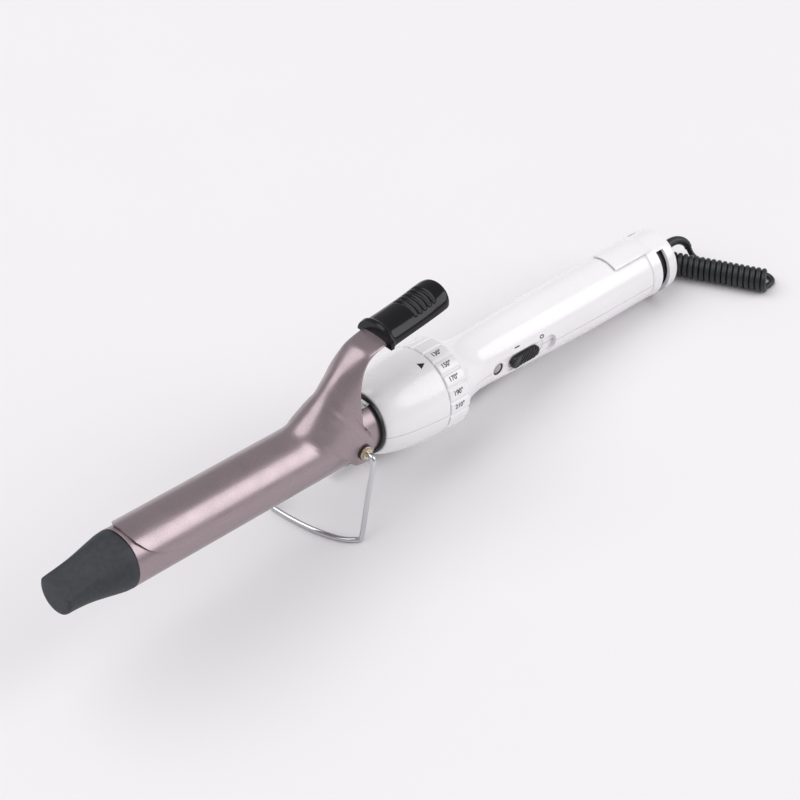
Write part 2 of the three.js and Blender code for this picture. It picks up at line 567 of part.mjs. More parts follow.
boreGeo.rotateX(Math.PI / 2);
boreGeo.rotateZ(Math.PI / 2);
boreGeo.computeBoundingBox();
boreGeo.translate(DIAL_X - 4.5 - boreGeo.boundingBox.min.x, 0, 0);
let dial = turned([[dialX0, GROOVE_R + GAP], [dialX0, DIAL_R - 0.5], [dialX0 + 0.5, DIAL_R - 0.1],
  [dialX1 - 0.5, DIAL_R - 0.1], [dialX1, DIAL_R - 0.5], [dialX1, GROOVE_R + GAP]], 80);
const teethRoom = tubeX(DIAL_X - 4.5, DIAL_X + 4.5, pitchR + 1.0, 10, 72);
dial = dial.subtract(teethRoom.intersect(toManifold(boreGeo)));
for (let k = 0; k < DIAL_PADS; k += 1) {
  const cut = box(dialX0 - 1, dialX1 + 1, -0.65, 0.65, DIAL_R - 0.55, DIAL_R + 1);
  dial = dial.subtract(cut.rotate([(k + 0.5) * 360 / DIAL_PADS + 12, 0, 0]));
}
add(iron, 'dial_ring', dial, MAT.white(), [DIAL_X, 0, 0]);

const centreZ = (DIAL_TEETH - PINION_TEETH) * GEAR_MODULE / 2;
const pinionPitch = PINION_TEETH * GEAR_MODULE / 2;
const pinionShape = new THREE.Shape(gearRing(PINION_TEETH, pinionPitch + 0.75, pinionPitch - 1.0, 0.2, 0.6));
const pinionGeo = new THREE.ExtrudeGeometry(pinionShape, { depth: 5, bevelEnabled: false });
pinionGeo.rotateX(Math.PI / 2);
pinionGeo.rotateZ(Math.PI / 2);
pinionGeo.computeBoundingBox();
pinionGeo.translate(DIAL_X - 2.5 - pinionGeo.boundingBox.min.x, 0, 0);
const pinion = toManifold(pinionGeo).subtract(rodX(DIAL_X - 4, DIAL_X + 4, 1.5 + GAP, 16));
const pinionMesh = add(iron, 'pot_pinion', pinion, MAT.white(), [DIAL_X, 0, 0]);
pinionMesh.position.set(DIAL_X, 0, centreZ);
const potX1 = DIAL_X - 9.6;
const pot = rodX(potX1 - 8, potX1, 4.6, 24).add(rodX(potX1 - 1, DIAL_X + 3, 1.5, 16))
  .add(box(potX1 - 6, potX1 - 4, -3, 3, -centreZ + boardZ + 1.2 + GAP, 0));
add(iron, 'potentiometer', pot, MAT.steel(), [0, 0, 0]).position.set(0, 0, centreZ);

// ---------------------------------------------------------------- electronics on the board
const board = box(147, 232, -8, 8, boardZ, boardZ + 1.2)
  .subtract(box(145, 176.6, -9, -4.6, boardZ - 1, boardZ + 2));
add(iron, 'circuit_board', board, MAT.board());
const onBoard = boardZ + 1.2 + GAP;
add(iron, 'power_switch_chip', box(184, 190, -3.5, 3.5, onBoard, onBoard + 3.4), MAT.black());
add(iron, 'film_capacitor', box(201, 213, -2.8, 2.8, onBoard, onBoard + 3.0), MAT.amber());
add(iron, 'control_chip', box(217, 225, -3.4, 3.4, onBoard, onBoard + 1.6), MAT.black());
add(iron, 'slide_switch_body', box(SWITCH_X - 8, SWITCH_X + 12, -8.1, -2.2, -3.4, boardZ - GAP), MAT.black());
const lampBody = rod('y', -13.1, -9.6, 2.6, LAMP_X, 0, 24).add(rod('y', -9.9, -8.8, 3.2, LAMP_X, 0, 24));
add(iron, 'lamp_lens', lampBody.subtract(rod('y', -9.7, -8, 1.9, LAMP_X, 0, 16)), MAT.lens(), [LAMP_X, -11, 0]);
add(iron, 'lamp_led', rod('y', -9.4, -4.5, 1.5, LAMP_X, 0, 16), MAT.amber(), [LAMP_X, -7, 0]);

// ---------------------------------------------------------------- switch knob
const knobY = recessFloor - GAP;
let knob = box(SWITCH_X - KNOB_HALF_L, SWITCH_X + KNOB_HALF_L, knobY - 2.0, knobY, -KNOB_HALF_H, KNOB_HALF_H);
knob = knob.intersect(stadium(SWITCH_X - KNOB_HALF_L, SWITCH_X + KNOB_HALF_L, KNOB_HALF_H, knobY - 2.0, knobY));
for (let k = -2; k <= 2; k += 1) {
  knob = knob.subtract(box(SWITCH_X + k * 2.6 - 0.45, SWITCH_X + k * 2.6 + 0.45, knobY - 3, knobY - 1.3, -5, 5));
}
knob = knob.add(box(SWITCH_X - STEM_HALF, SWITCH_X + STEM_HALF, knobY - 0.5, -8.4, -1.2, 1.2));
add(iron, 'switch_knob', knob, MAT.black(), [SWITCH_X, knobY, 0]);

// ---------------------------------------------------------------- rear cap, drum, contacts
const capX0 = HOUSING_END + 0.25;
let cap = turned([[capX0, HANDLE_R - SHELL_WALL], [capX0, HANDLE_R], [306, END_R - 0.1], [SLOT_X0, END_R],
  [SLOT_X1, END_R], [END_X - 0.8, END_R], [END_X, END_R - 0.8], [END_X, 4.6], [END_X - 2.4, 4.6],
  [END_X - 2.4, DRUM_R + GAP + 0.3], [capX0 + 3.0, DRUM_R + GAP + 0.3], [capX0 + 3.0, HANDLE_R - SHELL_WALL]]);
// open slot all round except for the bridge on top
const bridge = [];
for (let k = 0; k <= 24; k += 1) {
  const a = (90 + SLOT_HALF_DEG + (360 - 2 * SLOT_HALF_DEG) * k / 24) * RAD;
  bridge.push([20 * Math.cos(a), 20 * Math.sin(a)]);
}
const slotShape = new THREE.Shape([new THREE.Vector2(0, 0), ...bridge.map(([y, z]) => new THREE.Vector2(y, z))]);
const slotGeo = new THREE.ExtrudeGeometry(slotShape, { depth: SLOT_X1 - SLOT_X0, bevelEnabled: false });
slotGeo.rotateX(Math.PI / 2);
slotGeo.rotateZ(Math.PI / 2);
slotGeo.computeBoundingBox();
slotGeo.translate(SLOT_X0 - slotGeo.boundingBox.min.x, 0, 0);
cap = cap.subtract(toManifold(slotGeo));
// raised tongue that runs forward over the top of the housing
const TONGUE_X0 = 281.6, TONGUE_HALF_DEG = 27;
const tongueRing = (x, lift, t) => {
  const ring = [];
  for (let k = 0; k <= 12; k += 1) {
    const a = (90 - TONGUE_HALF_DEG + 2 * TONGUE_HALF_DEG * k / 12) * RAD;
    ring.push([x, (HANDLE_R + lift + t) * Math.cos(a), (HANDLE_R + lift + t) * Math.sin(a)]);
  }
  for (let k = 12; k >= 0; k -= 1) {
    const a = (90 - TONGUE_HALF_DEG + 2 * TONGUE_HALF_DEG * k / 12) * RAD;
    ring.push([x, (HANDLE_R + lift) * Math.cos(a), (HANDLE_R + lift) * Math.sin(a)]);
  }
  return ring;
};
cap = cap.add(loft([tongueRing(TONGUE_X0, 0.65, 0.6), tongueRing(290, 0.58, 0.7), tongueRing(capX0, 0.45, 0.75),
  tongueRing(306.5, -1.0, 1.7)]));
add(iron, 'rear_cap', cap, MAT.white());

const drumX0 = capX0 + 3.6, drumX1 = END_X - 2.4 - GAP;
const drum = turned([[292, 0], [292, 3.1], [drumX0, 3.1], [drumX0, DRUM_R], [drumX1, DRUM_R],
  [drumX1, 4.3], [END_X + 2, 4.3], [END_X + 3, 3.4], [END_X + 3, 0]], 40);
add(iron, 'swivel_drum', drum, MAT.charcoal());
const slips = [[294.2, 'live'], [298.6, 'neutral']];
slips.forEach(([x, name]) => {
  add(iron, `slip_ring_${name}`, tubeX(x, x + 2.2, 4.4, 3.1 + GAP, 32), MAT.brass());
  const s = name === 'live' ? -1 : 1;
  add(iron, `brush_${name}`, box(x + 0.4, x + 1.8, s > 0 ? 4.7 : -9.2, s > 0 ? 9.2 : -4.7, -0.8, 0.8), MAT.brass());
});

// ---------------------------------------------------------------- inner wires
const wire = (name, pts, r, material, steps) =>
  add(iron, name, sweep(smooth(pts, steps), r, 6), material);
wire('wire_live', [[234, -6.2, 5], [242, -6.6, 4.5], [256, -7.0, 2.5], [275, -7.4, 1.6], [290, -7.4, 1.95],
  [294.4, -7.4, 1.95]], 0.8, MAT.red(), 14);
wire('wire_neutral', [[234, 6.2, 5], [244, 6.6, 4.5], [260, 7.0, 2.5], [280, 7.4, 1.6], [295, 7.4, 1.95],
  [298.8, 7.4, 1.95]], 0.8, MAT.blue(), 14);
wire('heater_lead_upper', [[109, 3.5, 1.8], [116, 3.4, 1.0], [126, 3.8, -1.4], [136, 4.5, -1.6], [144, 5.2, 1.6],
  [145.2, 5.4, 4.4]], 0.8, MAT.red(), 12);
wire('heater_lead_lower', [[109, -3.5, -1.8], [118, -3.4, -2.2], [128, -3.6, -2.2], [138, -3.4, -1.6],
  [144, -3.0, 1.6], [145.2, -2.8, 4.4]], 0.8, MAT.blue(), 12);
wire('sensor_lead', [[107, 0, 6.5], [114, 0, 6.6], [124, 0, 5.6], [134, 0.8, 4.8], [142, 1.2, 4.9],
  [145.6, 1.2, 5.0]], 0.7, MAT.ceramic(), 10);

// ---------------------------------------------------------------- put the iron on its feet
iron.rotation.y = TILT;
iron.position.set(0, 0, LIFT);

// ---------------------------------------------------------------- cord on the floor (floor frame)
const cordGroup = new THREE.Group();
cordGroup.name = 'cord';
root.add(cordGroup);
const exitAt = new THREE.Vector3(END_X + 3 + GAP, 0, 0).applyAxisAngle(new THREE.Vector3(0, 1, 0), TILT)
  .add(new THREE.Vector3(0, 0, LIFT));
const EX = exitAt.x, EZ = exitAt.z;
const BOOT_PTS = [[0.1, 0, 0], [1.4, 0.05, -0.15], [3.6, 0.4, -0.1], [6.4, 0.9, 0.6], [10.0, 0.9, 0.9],
  [13.5, 0.5, 0.3], [16.6, -0.5, -1.2], [18.6, -1.7, -3.5], [19.4, -2.5, -5.9]]
  .map(([x, y, z]) => [EX + x, y, EZ + z]);
const bootRadii = BOOT_PTS.map((_, i) => 2.5 - 0.8 * i / (BOOT_PTS.length - 1));
add(cordGroup, 'strain_relief', sweep(BOOT_PTS, bootRadii, 10), MAT.cord());
const FLOOR_CORD = CORD_R + 0.1;
// coil: straight fat tube along the floor
const COIL_START = [EX + 7.6, -2.2, COIL_R + 0.05];
const COIL_END = [EX + 28.4, -41.5, COIL_R + 0.05];
add(cordGroup, 'cord_coil', sweep([COIL_START, COIL_END], COIL_R, 16), MAT.cord());
const LEAD_PTS = [[19.6, -3.0, 0], [19.9, -4.4, 0], [20.7, -6.6, 0], [22.8, -11.0, 0], [26.4, -17.2, 0],
  [30.2, -24.2, 0], [33.8, -31.0, 0], [36.0, -36.0, 0], [37.0, -40.0, 0], [36.2, -43.2, 0],
  [33.6, -45.0, 0]].map(([x, y]) => [EX + x, y, 0]);
const LEAD_Z = [EZ - 6.9, EZ - 9.1, EZ - 11.0, FLOOR_CORD + 0.25, FLOOR_CORD, FLOOR_CORD, FLOOR_CORD,
  FLOOR_CORD, FLOOR_CORD, FLOOR_CORD, FLOOR_CORD];
LEAD_PTS.forEach((p, i) => { p[2] = Math.max(LEAD_Z[i], FLOOR_CORD); });
add(cordGroup, 'cord_lead', sweep(smooth(LEAD_PTS, 26), CORD_R, 8), MAT.cord());
const HANK_X0 = 184, HANK_X1 = 254, HANK_HALF_W = 11.1, HANK_H = 8.0, HANK_Y = 19.4;
const RUN_Y = HANK_Y + HANK_HALF_W - CORD_R; // outer run of the hank
const TAIL_PTS = [[EX + 4.6, -1.3, FLOOR_CORD], [EX + 2.2, -0.6, FLOOR_CORD], [EX + 0.4, 2.0, FLOOR_CORD],
  [EX - 1.2, 6.4, FLOOR_CORD], [EX - 4.2, 12.0, FLOOR_CORD], [EX - 9.4, 17.2, FLOOR_CORD],
  [EX - 20, 22.0, FLOOR_CORD], [EX - 35, 25.4, FLOOR_CORD], [EX - 50, 28.0, FLOOR_CORD],
  [HANK_X1 + 1.0, RUN_Y + 0.2, FLOOR_CORD], [HANK_X1 - 5.5, RUN_Y + 1.6, FLOOR_CORD]];
add(cordGroup, 'cord_tail', sweep(smooth(TAIL_PTS, 26), CORD_R, 8), MAT.cord());
// hank: flat bundle with round ends
const hankShape = new THREE.Shape();
hankShape.absarc(HANK_X0 + HANK_HALF_W, HANK_Y, HANK_HALF_W, Math.PI / 2, 1.5 * Math.PI, false);
hankShape.absarc(HANK_X1 - HANK_HALF_W, HANK_Y, HANK_HALF_W, -Math.PI / 2, Math.PI / 2, false);
const hankGeo = new THREE.ExtrudeGeometry(hankShape, { depth: HANK_H, bevelEnabled: false, curveSegments: 8 });
hankGeo.translate(0, 0, 0.1);
const HANK_MID = (HANK_X0 + HANK_X1) / 2;
const tieRoom = box(HANK_MID - 2.3, HANK_MID + 2.3, HANK_Y - 12, HANK_Y + 12, -1, 20)
  .subtract(box(HANK_MID - 3, HANK_MID + 3, HANK_Y - HANK_HALF_W + 1.2, HANK_Y + HANK_HALF_W - 1.2, 1.3, HANK_H - 1.1));
add(cordGroup, 'cord_hank', toManifold(hankGeo).subtract(tieRoom), MAT.cord());
const tie = box(HANK_MID - 2, HANK_MID + 2, HANK_Y - HANK_HALF_W, HANK_Y + HANK_HALF_W, 0.1, HANK_H + 0.1)
  .subtract(box(HANK_MID - 3, HANK_MID + 3, HANK_Y - HANK_HALF_W + 0.9, HANK_Y + HANK_HALF_W - 0.9, 1.0, HANK_H - 0.8));
add(cordGroup, 'cord_tie', tie, MAT.black());
// plug behind the bell, blades toward the tip
const PLUG_X0 = 142, PLUG_X1 = 170, PLUG_Y = 24, PLUG_HALF_W = 11.5, PLUG_H = 13;
const PLUG_LEAD = [[HANK_X0 + 1.0, HANK_Y + 6.8, 6.9], [HANK_X0 - 2, HANK_Y + 6.0, 6.9],
  [HANK_X0 - 4.6, HANK_Y + 5.2, 6.7], [PLUG_X1 + 7.0, PLUG_Y + 0.1, 6.55]];
add(cordGroup, 'cord_plug_lead', sweep(smooth(PLUG_LEAD, 8), CORD_R, 8), MAT.cord());
const plugOutline = new THREE.Shape([[PLUG_X0, -PLUG_HALF_W + 1.5], [PLUG_X0 + 1.5, -PLUG_HALF_W],
  [PLUG_X1 - 10, -PLUG_HALF_W], [PLUG_X1 - 4, -PLUG_HALF_W + 3], [PLUG_X1, -4.5], [PLUG_X1, 4.5],
  [PLUG_X1 - 4, PLUG_HALF_W - 3], [PLUG_X1 - 10, PLUG_HALF_W], [PLUG_X0 + 1.5, PLUG_HALF_W],
  [PLUG_X0, PLUG_HALF_W - 1.5]].map(([x, y]) => new THREE.Vector2(x, y)));
const plugGeo = new THREE.ExtrudeGeometry(plugOutline, { depth: PLUG_H, bevelEnabled: false });
plugGeo.translate(0, PLUG_Y, 0.1);
const BLADE_HALF_GAP = 6.35, BLADE_T = 1.5, BLADE_W = 6.3, BLADE_L = 17.5;
const bladeZ = PLUG_H / 2 + 0.1;
let plug = toManifold(plugGeo).add(rodX(PLUG_X1 - 1, PLUG_X1 + 6, 3.4, 12).translate([0, PLUG_Y, 6.5]));
[-1, 1].forEach((s) => {
  const y = PLUG_Y + s * BLADE_HALF_GAP;
  plug = plug.subtract(box(PLUG_X0 - 1, PLUG_X0 + 8.3, y - BLADE_T / 2 - 0.2, y + BLADE_T / 2 + 0.2,
    bladeZ - BLADE_W / 2 - 0.2, bladeZ + BLADE_W / 2 + 0.2));
  const blade = box(PLUG_X0 - BLADE_L, PLUG_X0 + 8, y - BLADE_T / 2, y + BLADE_T / 2, bladeZ - BLADE_W / 2, bladeZ + BLADE_W / 2)
    .subtract(rod('y', y - 3, y + 3, 1.6, PLUG_X0 - BLADE_L + 3.6, bladeZ, 16));
  add(cordGroup, s < 0 ? 'plug_blade_near' : 'plug_blade_far', blade, MAT.chrome());
});
add(cordGroup, 'plug_body', plug, MAT.cord());

// ---------------------------------------------------------------- origin: middle of the iron's footprint
const bounds = new THREE.Box3();
root.updateMatrixWorld(true);
iron.traverse((o) => { if (o.isMesh) bounds.expandByObject(o, true); });
const midX = (bounds.min.x + bounds.max.x) / 2, midY = (bounds.min.y + bounds.max.y) / 2;
root.position.set(-midX, -midY, -bounds.min.z);
root.updateMatrixWorld(true);

const group = new THREE.Group();
group.name = 'part';
group.add(root);
export default group;
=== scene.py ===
"""Curling iron: the visible pieces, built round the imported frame. Lengths in the tables are millimetres.
Iron frame: X from tip to cord end with x = 0 at the tip joint, Z up, the viewer on the -Y side."""
import json
import math

import bmesh
import bpy
import numpy as np
from mathutils import Matrix, Vector


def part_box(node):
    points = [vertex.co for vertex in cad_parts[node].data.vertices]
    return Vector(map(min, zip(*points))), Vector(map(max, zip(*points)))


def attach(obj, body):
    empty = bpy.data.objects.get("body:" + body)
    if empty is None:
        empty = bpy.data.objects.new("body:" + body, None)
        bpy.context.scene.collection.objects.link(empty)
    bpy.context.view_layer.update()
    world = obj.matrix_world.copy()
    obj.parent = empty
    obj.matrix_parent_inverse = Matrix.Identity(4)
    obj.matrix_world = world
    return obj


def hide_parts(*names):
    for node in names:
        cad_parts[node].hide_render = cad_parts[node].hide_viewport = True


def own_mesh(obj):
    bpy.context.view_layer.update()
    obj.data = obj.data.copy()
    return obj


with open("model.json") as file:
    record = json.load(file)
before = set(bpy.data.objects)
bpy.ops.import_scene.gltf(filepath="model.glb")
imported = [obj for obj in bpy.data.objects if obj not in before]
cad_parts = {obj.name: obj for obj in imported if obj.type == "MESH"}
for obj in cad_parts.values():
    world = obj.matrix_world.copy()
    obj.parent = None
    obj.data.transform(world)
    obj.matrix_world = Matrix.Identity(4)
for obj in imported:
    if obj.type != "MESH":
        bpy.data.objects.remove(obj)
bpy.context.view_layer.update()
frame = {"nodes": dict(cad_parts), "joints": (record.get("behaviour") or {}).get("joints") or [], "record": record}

MM = 0.001
RAD = math.pi / 180

# ------------------------------------------------------------------ frames
JOINTS = {j["name"]: j for j in frame["joints"]}
BODY_OF = {n: b for b, names in frame["record"]["behaviour"]["bodies"].items() for n in names}
DIAL_X = 169.0
axis_x = -Vector(JOINTS["dial_turn"]["axis"]).normalized()
axis_z = axis_x.cross(Vector((0, 1, 0))).normalized()
iron_origin = Vector(JOINTS["dial_turn"]["pos_m"]) - axis_x * DIAL_X * MM
IRON = Matrix.Translation(iron_origin) @ Matrix((axis_x, Vector((0, 1, 0)), axis_z)).transposed().to_4x4()
PLUG_X0, PLUG_NEAR_Y = 142.0, 12.5
plug_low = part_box("plug_body")[0]
FLOOR = Matrix.Translation((plug_low.x - PLUG_X0 * MM, plug_low.y - PLUG_NEAR_Y * MM, 0))


# ------------------------------------------------------------------ small maths
def ease(a, b, x):
    t = np.clip((np.asarray(x, float) - a) / (b - a), 0, 1)
    return t * t * (3 - 2 * t)


def through(table, x):
    """Monotone cubic through rows [x, a, b, ...], read at x."""
    t = np.array(table, float)
    xs, ys = t[:, 0], t[:, 1:]
    h = np.diff(xs)[:, None]
    d = np.diff(ys, axis=0) / h
    m = np.vstack([d[0], np.zeros((len(xs) - 2, ys.shape[1])), d[-1]])
    for i in range(1, len(xs) - 1):
        w1, w2 = 2 * h[i, 0] + h[i - 1, 0], h[i, 0] + 2 * h[i - 1, 0]
        same = d[i - 1] * d[i] > 0
        safe = np.where(same, d[i - 1], 1), np.where(same, d[i], 1)
        m[i] = np.where(same, (w1 + w2) / (w1 / safe[0] + w2 / safe[1]), 0)
    x = np.atleast_1d(np.asarray(x, float))
    k = np.clip(np.searchsorted(xs, x, side="right") - 1, 0, len(xs) - 2)
    s = (np.clip((x - xs[k]) / h[k, 0], 0, 1))[:, None]
    return ((1 + 2 * s) * (1 - s) ** 2 * ys[k] + s * (1 - s) ** 2 * h[k] * m[k]
            + s * s * (3 - 2 * s) * ys[k + 1] + s * s * (s - 1) * h[k] * m[k + 1])


def fillet(points, radius, steps=4, closed=False):
    """Rounds the corners of a flat line of points."""
    p = [np.array(q, float) for q in points]
    out = []
    for i, v in enumerate(p):
        if not closed and i in (0, len(p) - 1):
            out.append(v)
            continue
        a, b = p[i - 1] - v, p[(i + 1) % len(p)] - v
        la, lb = np.linalg.norm(a), np.linalg.norm(b)
        cut = min(radius, 0.45 * la, 0.45 * lb)
        p0, p1 = v + a / la * cut, v + b / lb * cut
        for t in np.linspace(0, 1, steps + 1):
            out.append((1 - t) ** 2 * p0 + 2 * t * (1 - t) * v + t * t * p1)
    return [tuple(q) for q in out]


def smooth_path(points, step):
    """Centripetal curve through the points, read about every step."""
    p = np.array(points, float)
    e = np.vstack([2 * p[0] - p[1], p, 2 * p[-1] - p[-2]])
    k = np.concatenate([[0], np.cumsum(np.linalg.norm(np.diff(e, axis=0), axis=1) ** 0.5)])
    out = []
    for i in range(1, len(e) - 2):
        t0, t1, t2, t3 = k[i - 1:i + 3]
        for t in np.linspace(t1, t2, 16, endpoint=False):
            a1 = ((t1 - t) * e[i - 1] + (t - t0) * e[i]) / (t1 - t0)
            a2 = ((t2 - t) * e[i] + (t - t1) * e[i + 1]) / (t2 - t1)
            a3 = ((t3 - t) * e[i + 1] + (t - t2) * e[i + 2]) / (t3 - t2)
            b1 = ((t2 - t) * a1 + (t - t0) * a2) / (t2 - t0)
            b2 = ((t3 - t) * a2 + (t - t1) * a3) / (t3 - t1)
            out.append(((t2 - t) * b1 + (t - t1) * b2) / (t2 - t1))
    out = np.vstack([out, p[-1]])
    far = np.concatenate([[0], np.cumsum(np.linalg.norm(np.diff(out, axis=0), axis=1))])
    at = np.linspace(0, far[-1], max(2, int(round(far[-1] / step)) + 1))
    return np.stack([np.interp(at, far, out[:, c]) for c in range(3)], axis=1)


# ------------------------------------------------------------------ mesh makers: each gives (points, faces)
def revolve(profile, seg=128, radius=None):
    """Closed profile [(x, r)] turned about X; radius(x, r, angle) may change r. Angle 0 faces the viewer."""
    n, verts, faces = len(profile), [], []
    for k in range(seg):
        a = 2 * math.pi * k / seg
        for x, r in profile:
            r = radius(x, r, a) if radius else r
            verts.append((x, -r * math.cos(a), r * math.sin(a)))
        for i in range(n):
            j, w = (i + 1) % n, (k + 1) % seg
            faces.append((k * n + i, k * n + j, w * n + j, w * n + i))
    return verts, faces


def loft(rings, caps=True):
    n = len(rings[0])
    verts = [tuple(p) for ring in rings for p in ring]
    faces = [(i * n + j, i * n + (j + 1) % n, (i + 1) * n + (j + 1) % n, (i + 1) * n + j)
             for i in range(len(rings) - 1) for j in range(n)]
    for i in (0, len(rings) - 1) if caps else ():
        verts.append(tuple(np.mean(np.array(rings[i], float), axis=0)))
        faces += [(len(verts) - 1, i * n + j, i * n + (j + 1) % n) for j in range(n)]
    return verts, faces


def frames_along(points):
    p = np.array(points, float)
    t = np.gradient(p, axis=0)
    t /= np.linalg.norm(t, axis=1)[:, None]
    u = np.array([0, 0, 1.0]) if abs(t[0][2]) < 0.9 else np.array([1.0, 0, 0])
    out = []
    for i in range(len(p)):
        u = u - t[i] * u.dot(t[i])
        u /= np.linalg.norm(u)
        out.append((p[i], u, np.cross(t[i], u)))
    return out


def sweep(points, radius, sides=16):
    r = np.broadcast_to(np.asarray(radius, float), (len(points),))
    turn = [2 * math.pi * k / sides for k in range(sides)]
    return loft([[p + r[i] * (math.cos(a) * u + math.sin(a) * w) for a in turn]
                 for i, (p, u, w) in enumerate(frames_along(points))])


def shell(outer, inner, keep=None, wrap=False):
    """Two grids of points as one closed sheet; cells that keep says no to are open."""
    nu, nv = outer.shape[:2]
    cu, cv = nu - 1, nv if wrap else nv - 1
    keep = np.ones((cu, cv), bool) if keep is None else keep
    verts = np.concatenate([outer.reshape(-1, 3), inner.reshape(-1, 3)])
    off, faces = nu * nv, []
    for i in range(cu):
        for j in range(cv):
            if not keep[i, j]:
                continue
            k = (j + 1) % nv
            a, b, c, d = i * nv + j, i * nv + k, (i + 1) * nv + k, (i + 1) * nv + j
            faces += [(a, b, c, d), (off + d, off + c, off + b, off + a)]
            for di, dj, p, q in ((-1, 0, a, b), (0, 1, b, c), (1, 0, c, d), (0, -1, d, a)):
                ii, jj = i + di, (j + dj) % cv if wrap else j + dj
                if not (0 <= ii < cu and 0 <= jj < cv and keep[ii, jj]):
                    faces.append((q, p, off + p, off + q))
    return [tuple(v) for v in verts], faces


def joined(*parts):
    verts, faces = [], []
    for v, f in parts:
        faces += [tuple(i + len(verts) for i in face) for face in f]
        verts += list(v)
    return verts, faces


def facing_side(part, at_x):
    """Turns a piece made about X so that it looks out along -Y at at_x."""
    verts, faces = part
    return [(at_x + y, -x, z) for x, y, z in verts], faces


def mirrored_y(part):
    verts, faces = part
    return [(x, -y, z) for x, y, z in verts], [tuple(reversed(f)) for f in faces]


# ------------------------------------------------------------------ materials
def material(name, base, rough, metal=0.0, tint=0.05, blotch=60, grain=2500, bump=0.04, spread=0.05,
             coat=0.0, ior=1.5, through_light=0.0, fleck=0.0):
    """Procedural finish: slow colour change, roughness change, fine grain as bump, and metal flecks if asked."""
    m = bpy.data.materials.new(name)
    m.use_nodes = True
    tree = m.node_tree
    nodes, link = tree.nodes, tree.links.new
    bsdf = nodes["Principled BSDF"]
    bsdf.inputs["Metallic"].default_value = metal
    bsdf.inputs["IOR"].default_value = ior
    bsdf.inputs["Coat Weight"].default_value = coat
    bsdf.inputs["Coat Roughness"].default_value = 0.08
    bsdf.inputs["Transmission Weight"].default_value = through_light
    place = nodes.new("ShaderNodeTexCoord")

    def noise(scale, detail=3.0):
        n = nodes.new("ShaderNodeTexNoise")
        n.inputs["Scale"].default_value = scale
        n.inputs["Detail"].default_value = detail
        link(place.outputs["Object"], n.inputs["Vector"])
        return n.outputs["Fac"]

    def ramp(source, low, high):
        r = nodes.new("ShaderNodeMapRange")
        r.inputs["From Min"].default_value, r.inputs["From Max"].default_value = 0.3, 0.7
        r.inputs["To Min"].default_value, r.inputs["To Max"].default_value = low, high
        link(source, r.inputs["Value"])
        return r.outputs["Result"]

    def shade(source, low, high):
        r = nodes.new("ShaderNodeValToRGB")
        r.color_ramp.elements[0].position, r.color_ramp.elements[1].position = 0.3, 0.7
        r.color_ramp.elements[0].color = (*low, 1)
        r.color_ramp.elements[1].color = (*high, 1)
        link(source, r.inputs["Fac"])
        return r.outputs["Color"]

    colour = shade(noise(blotch), [c * (1 - tint) for c in base], [min(c * (1 + tint), 1) for c in base])
    if fleck:
        mix = nodes.new("ShaderNodeMix")
        mix.data_type = "RGBA"
        mix.blend_type = "MULTIPLY"
        mix.inputs["Factor"].default_value = 1.0
        link(colour, mix.inputs["A"])
        link(shade(noise(FLECK_SCALE, 1.0), [1 - fleck] * 3, [1 + fleck] * 3), mix.inputs["B"])
        colour = mix.outputs["Result"]
    link(colour, bsdf.inputs["Base Color"])
    link(ramp(noise(blotch * 4), max(rough - spread, 0.02), rough + spread), bsdf.inputs["Roughness"])
    dent = nodes.new("ShaderNodeBump")
    dent.inputs["Strength"].default_value = bump
    dent.inputs["Distance"].default_value = 0.0001
    link(noise(grain), dent.inputs["Height"])
    link(dent.outputs["Normal"], bsdf.inputs["Normal"])
    return m


FLECK_SCALE = 3200
ROSE = material("rose_paint_look", (0.345, 0.278, 0.298), 0.34, metal=0.8, tint=0.03, blotch=30, grain=3000,
                bump=0.05, coat=0.3, fleck=0.12)
CHARCOAL = material("charcoal_look", (0.026, 0.030, 0.037), 0.6, tint=0.2, blotch=400, grain=2600, bump=0.4)
GLOSS_BLACK = material("gloss_black_look", (0.006, 0.006, 0.008), 0.15, tint=0.1, grain=1500, bump=0.02,
                       ior=1.38)
KNOB_BLACK = material("knob_black_look", (0.009, 0.009, 0.010), 0.34, tint=0.1, grain=3000, bump=0.1)
WHITE = material("white_gloss_look", (0.90, 0.885, 0.905), 0.24, tint=0.012, blotch=25, grain=900, bump=0.012,
                 coat=0.4)
CHROME = material("chrome_look", (0.62, 0.63, 0.65), 0.08, metal=1.0, tint=0.03, grain=1800, bump=0.02)
SPRING = material("spring_steel_look", (0.78, 0.79, 0.81), 0.16, metal=1.0, tint=0.04, grain=2200, bump=0.05)
BRASS = material("screw_look", (0.62, 0.54, 0.42), 0.24, metal=1.0, tint=0.08, grain=2500, bump=0.08)
COLLAR = material("collar_look", (0.045, 0.028, 0.022), 0.4, tint=0.15, grain=2500, bump=0.1)
RING_BLACK = material("heat_ring_look", (0.012, 0.012, 0.013), 0.3, tint=0.1, grain=2600, bump=0.08)
LENS = material("lamp_look", (0.42, 0.36, 0.36), 0.14, tint=0.05, grain=1500, bump=0.03, coat=0.5)
PRINT = material("print_look", (0.012, 0.012, 0.014), 0.5, tint=0.1, grain=5000, bump=0.05)
CORD = material("cord_look", (0.016, 0.018, 0.021), 0.42, tint=0.12, grain=2600, bump=0.12)
PLUG = material("plug_look", (0.018, 0.019, 0.021), 0.4, tint=0.1, grain=2400, bump=0.15)
DRUM = material("drum_look", (0.02, 0.02, 0.022), 0.45, tint=0.1, grain=2600, bump=0.1)
TIE = material("tie_look", (0.02, 0.02, 0.021), 0.5, tint=0.1, grain=2500, bump=0.2)
STEEL = material("steel_look", (0.55, 0.56, 0.58), 0.3, metal=1.0, tint=0.06, grain=2000, bump=0.08)
ALLOY = material("spreader_look", (0.62, 0.63, 0.65), 0.38, metal=1.0, tint=0.06, grain=1500, bump=0.12)
CONTACT = material("contact_look", (0.72, 0.55, 0.28), 0.3, metal=1.0, tint=0.08, grain=2200, bump=0.08)
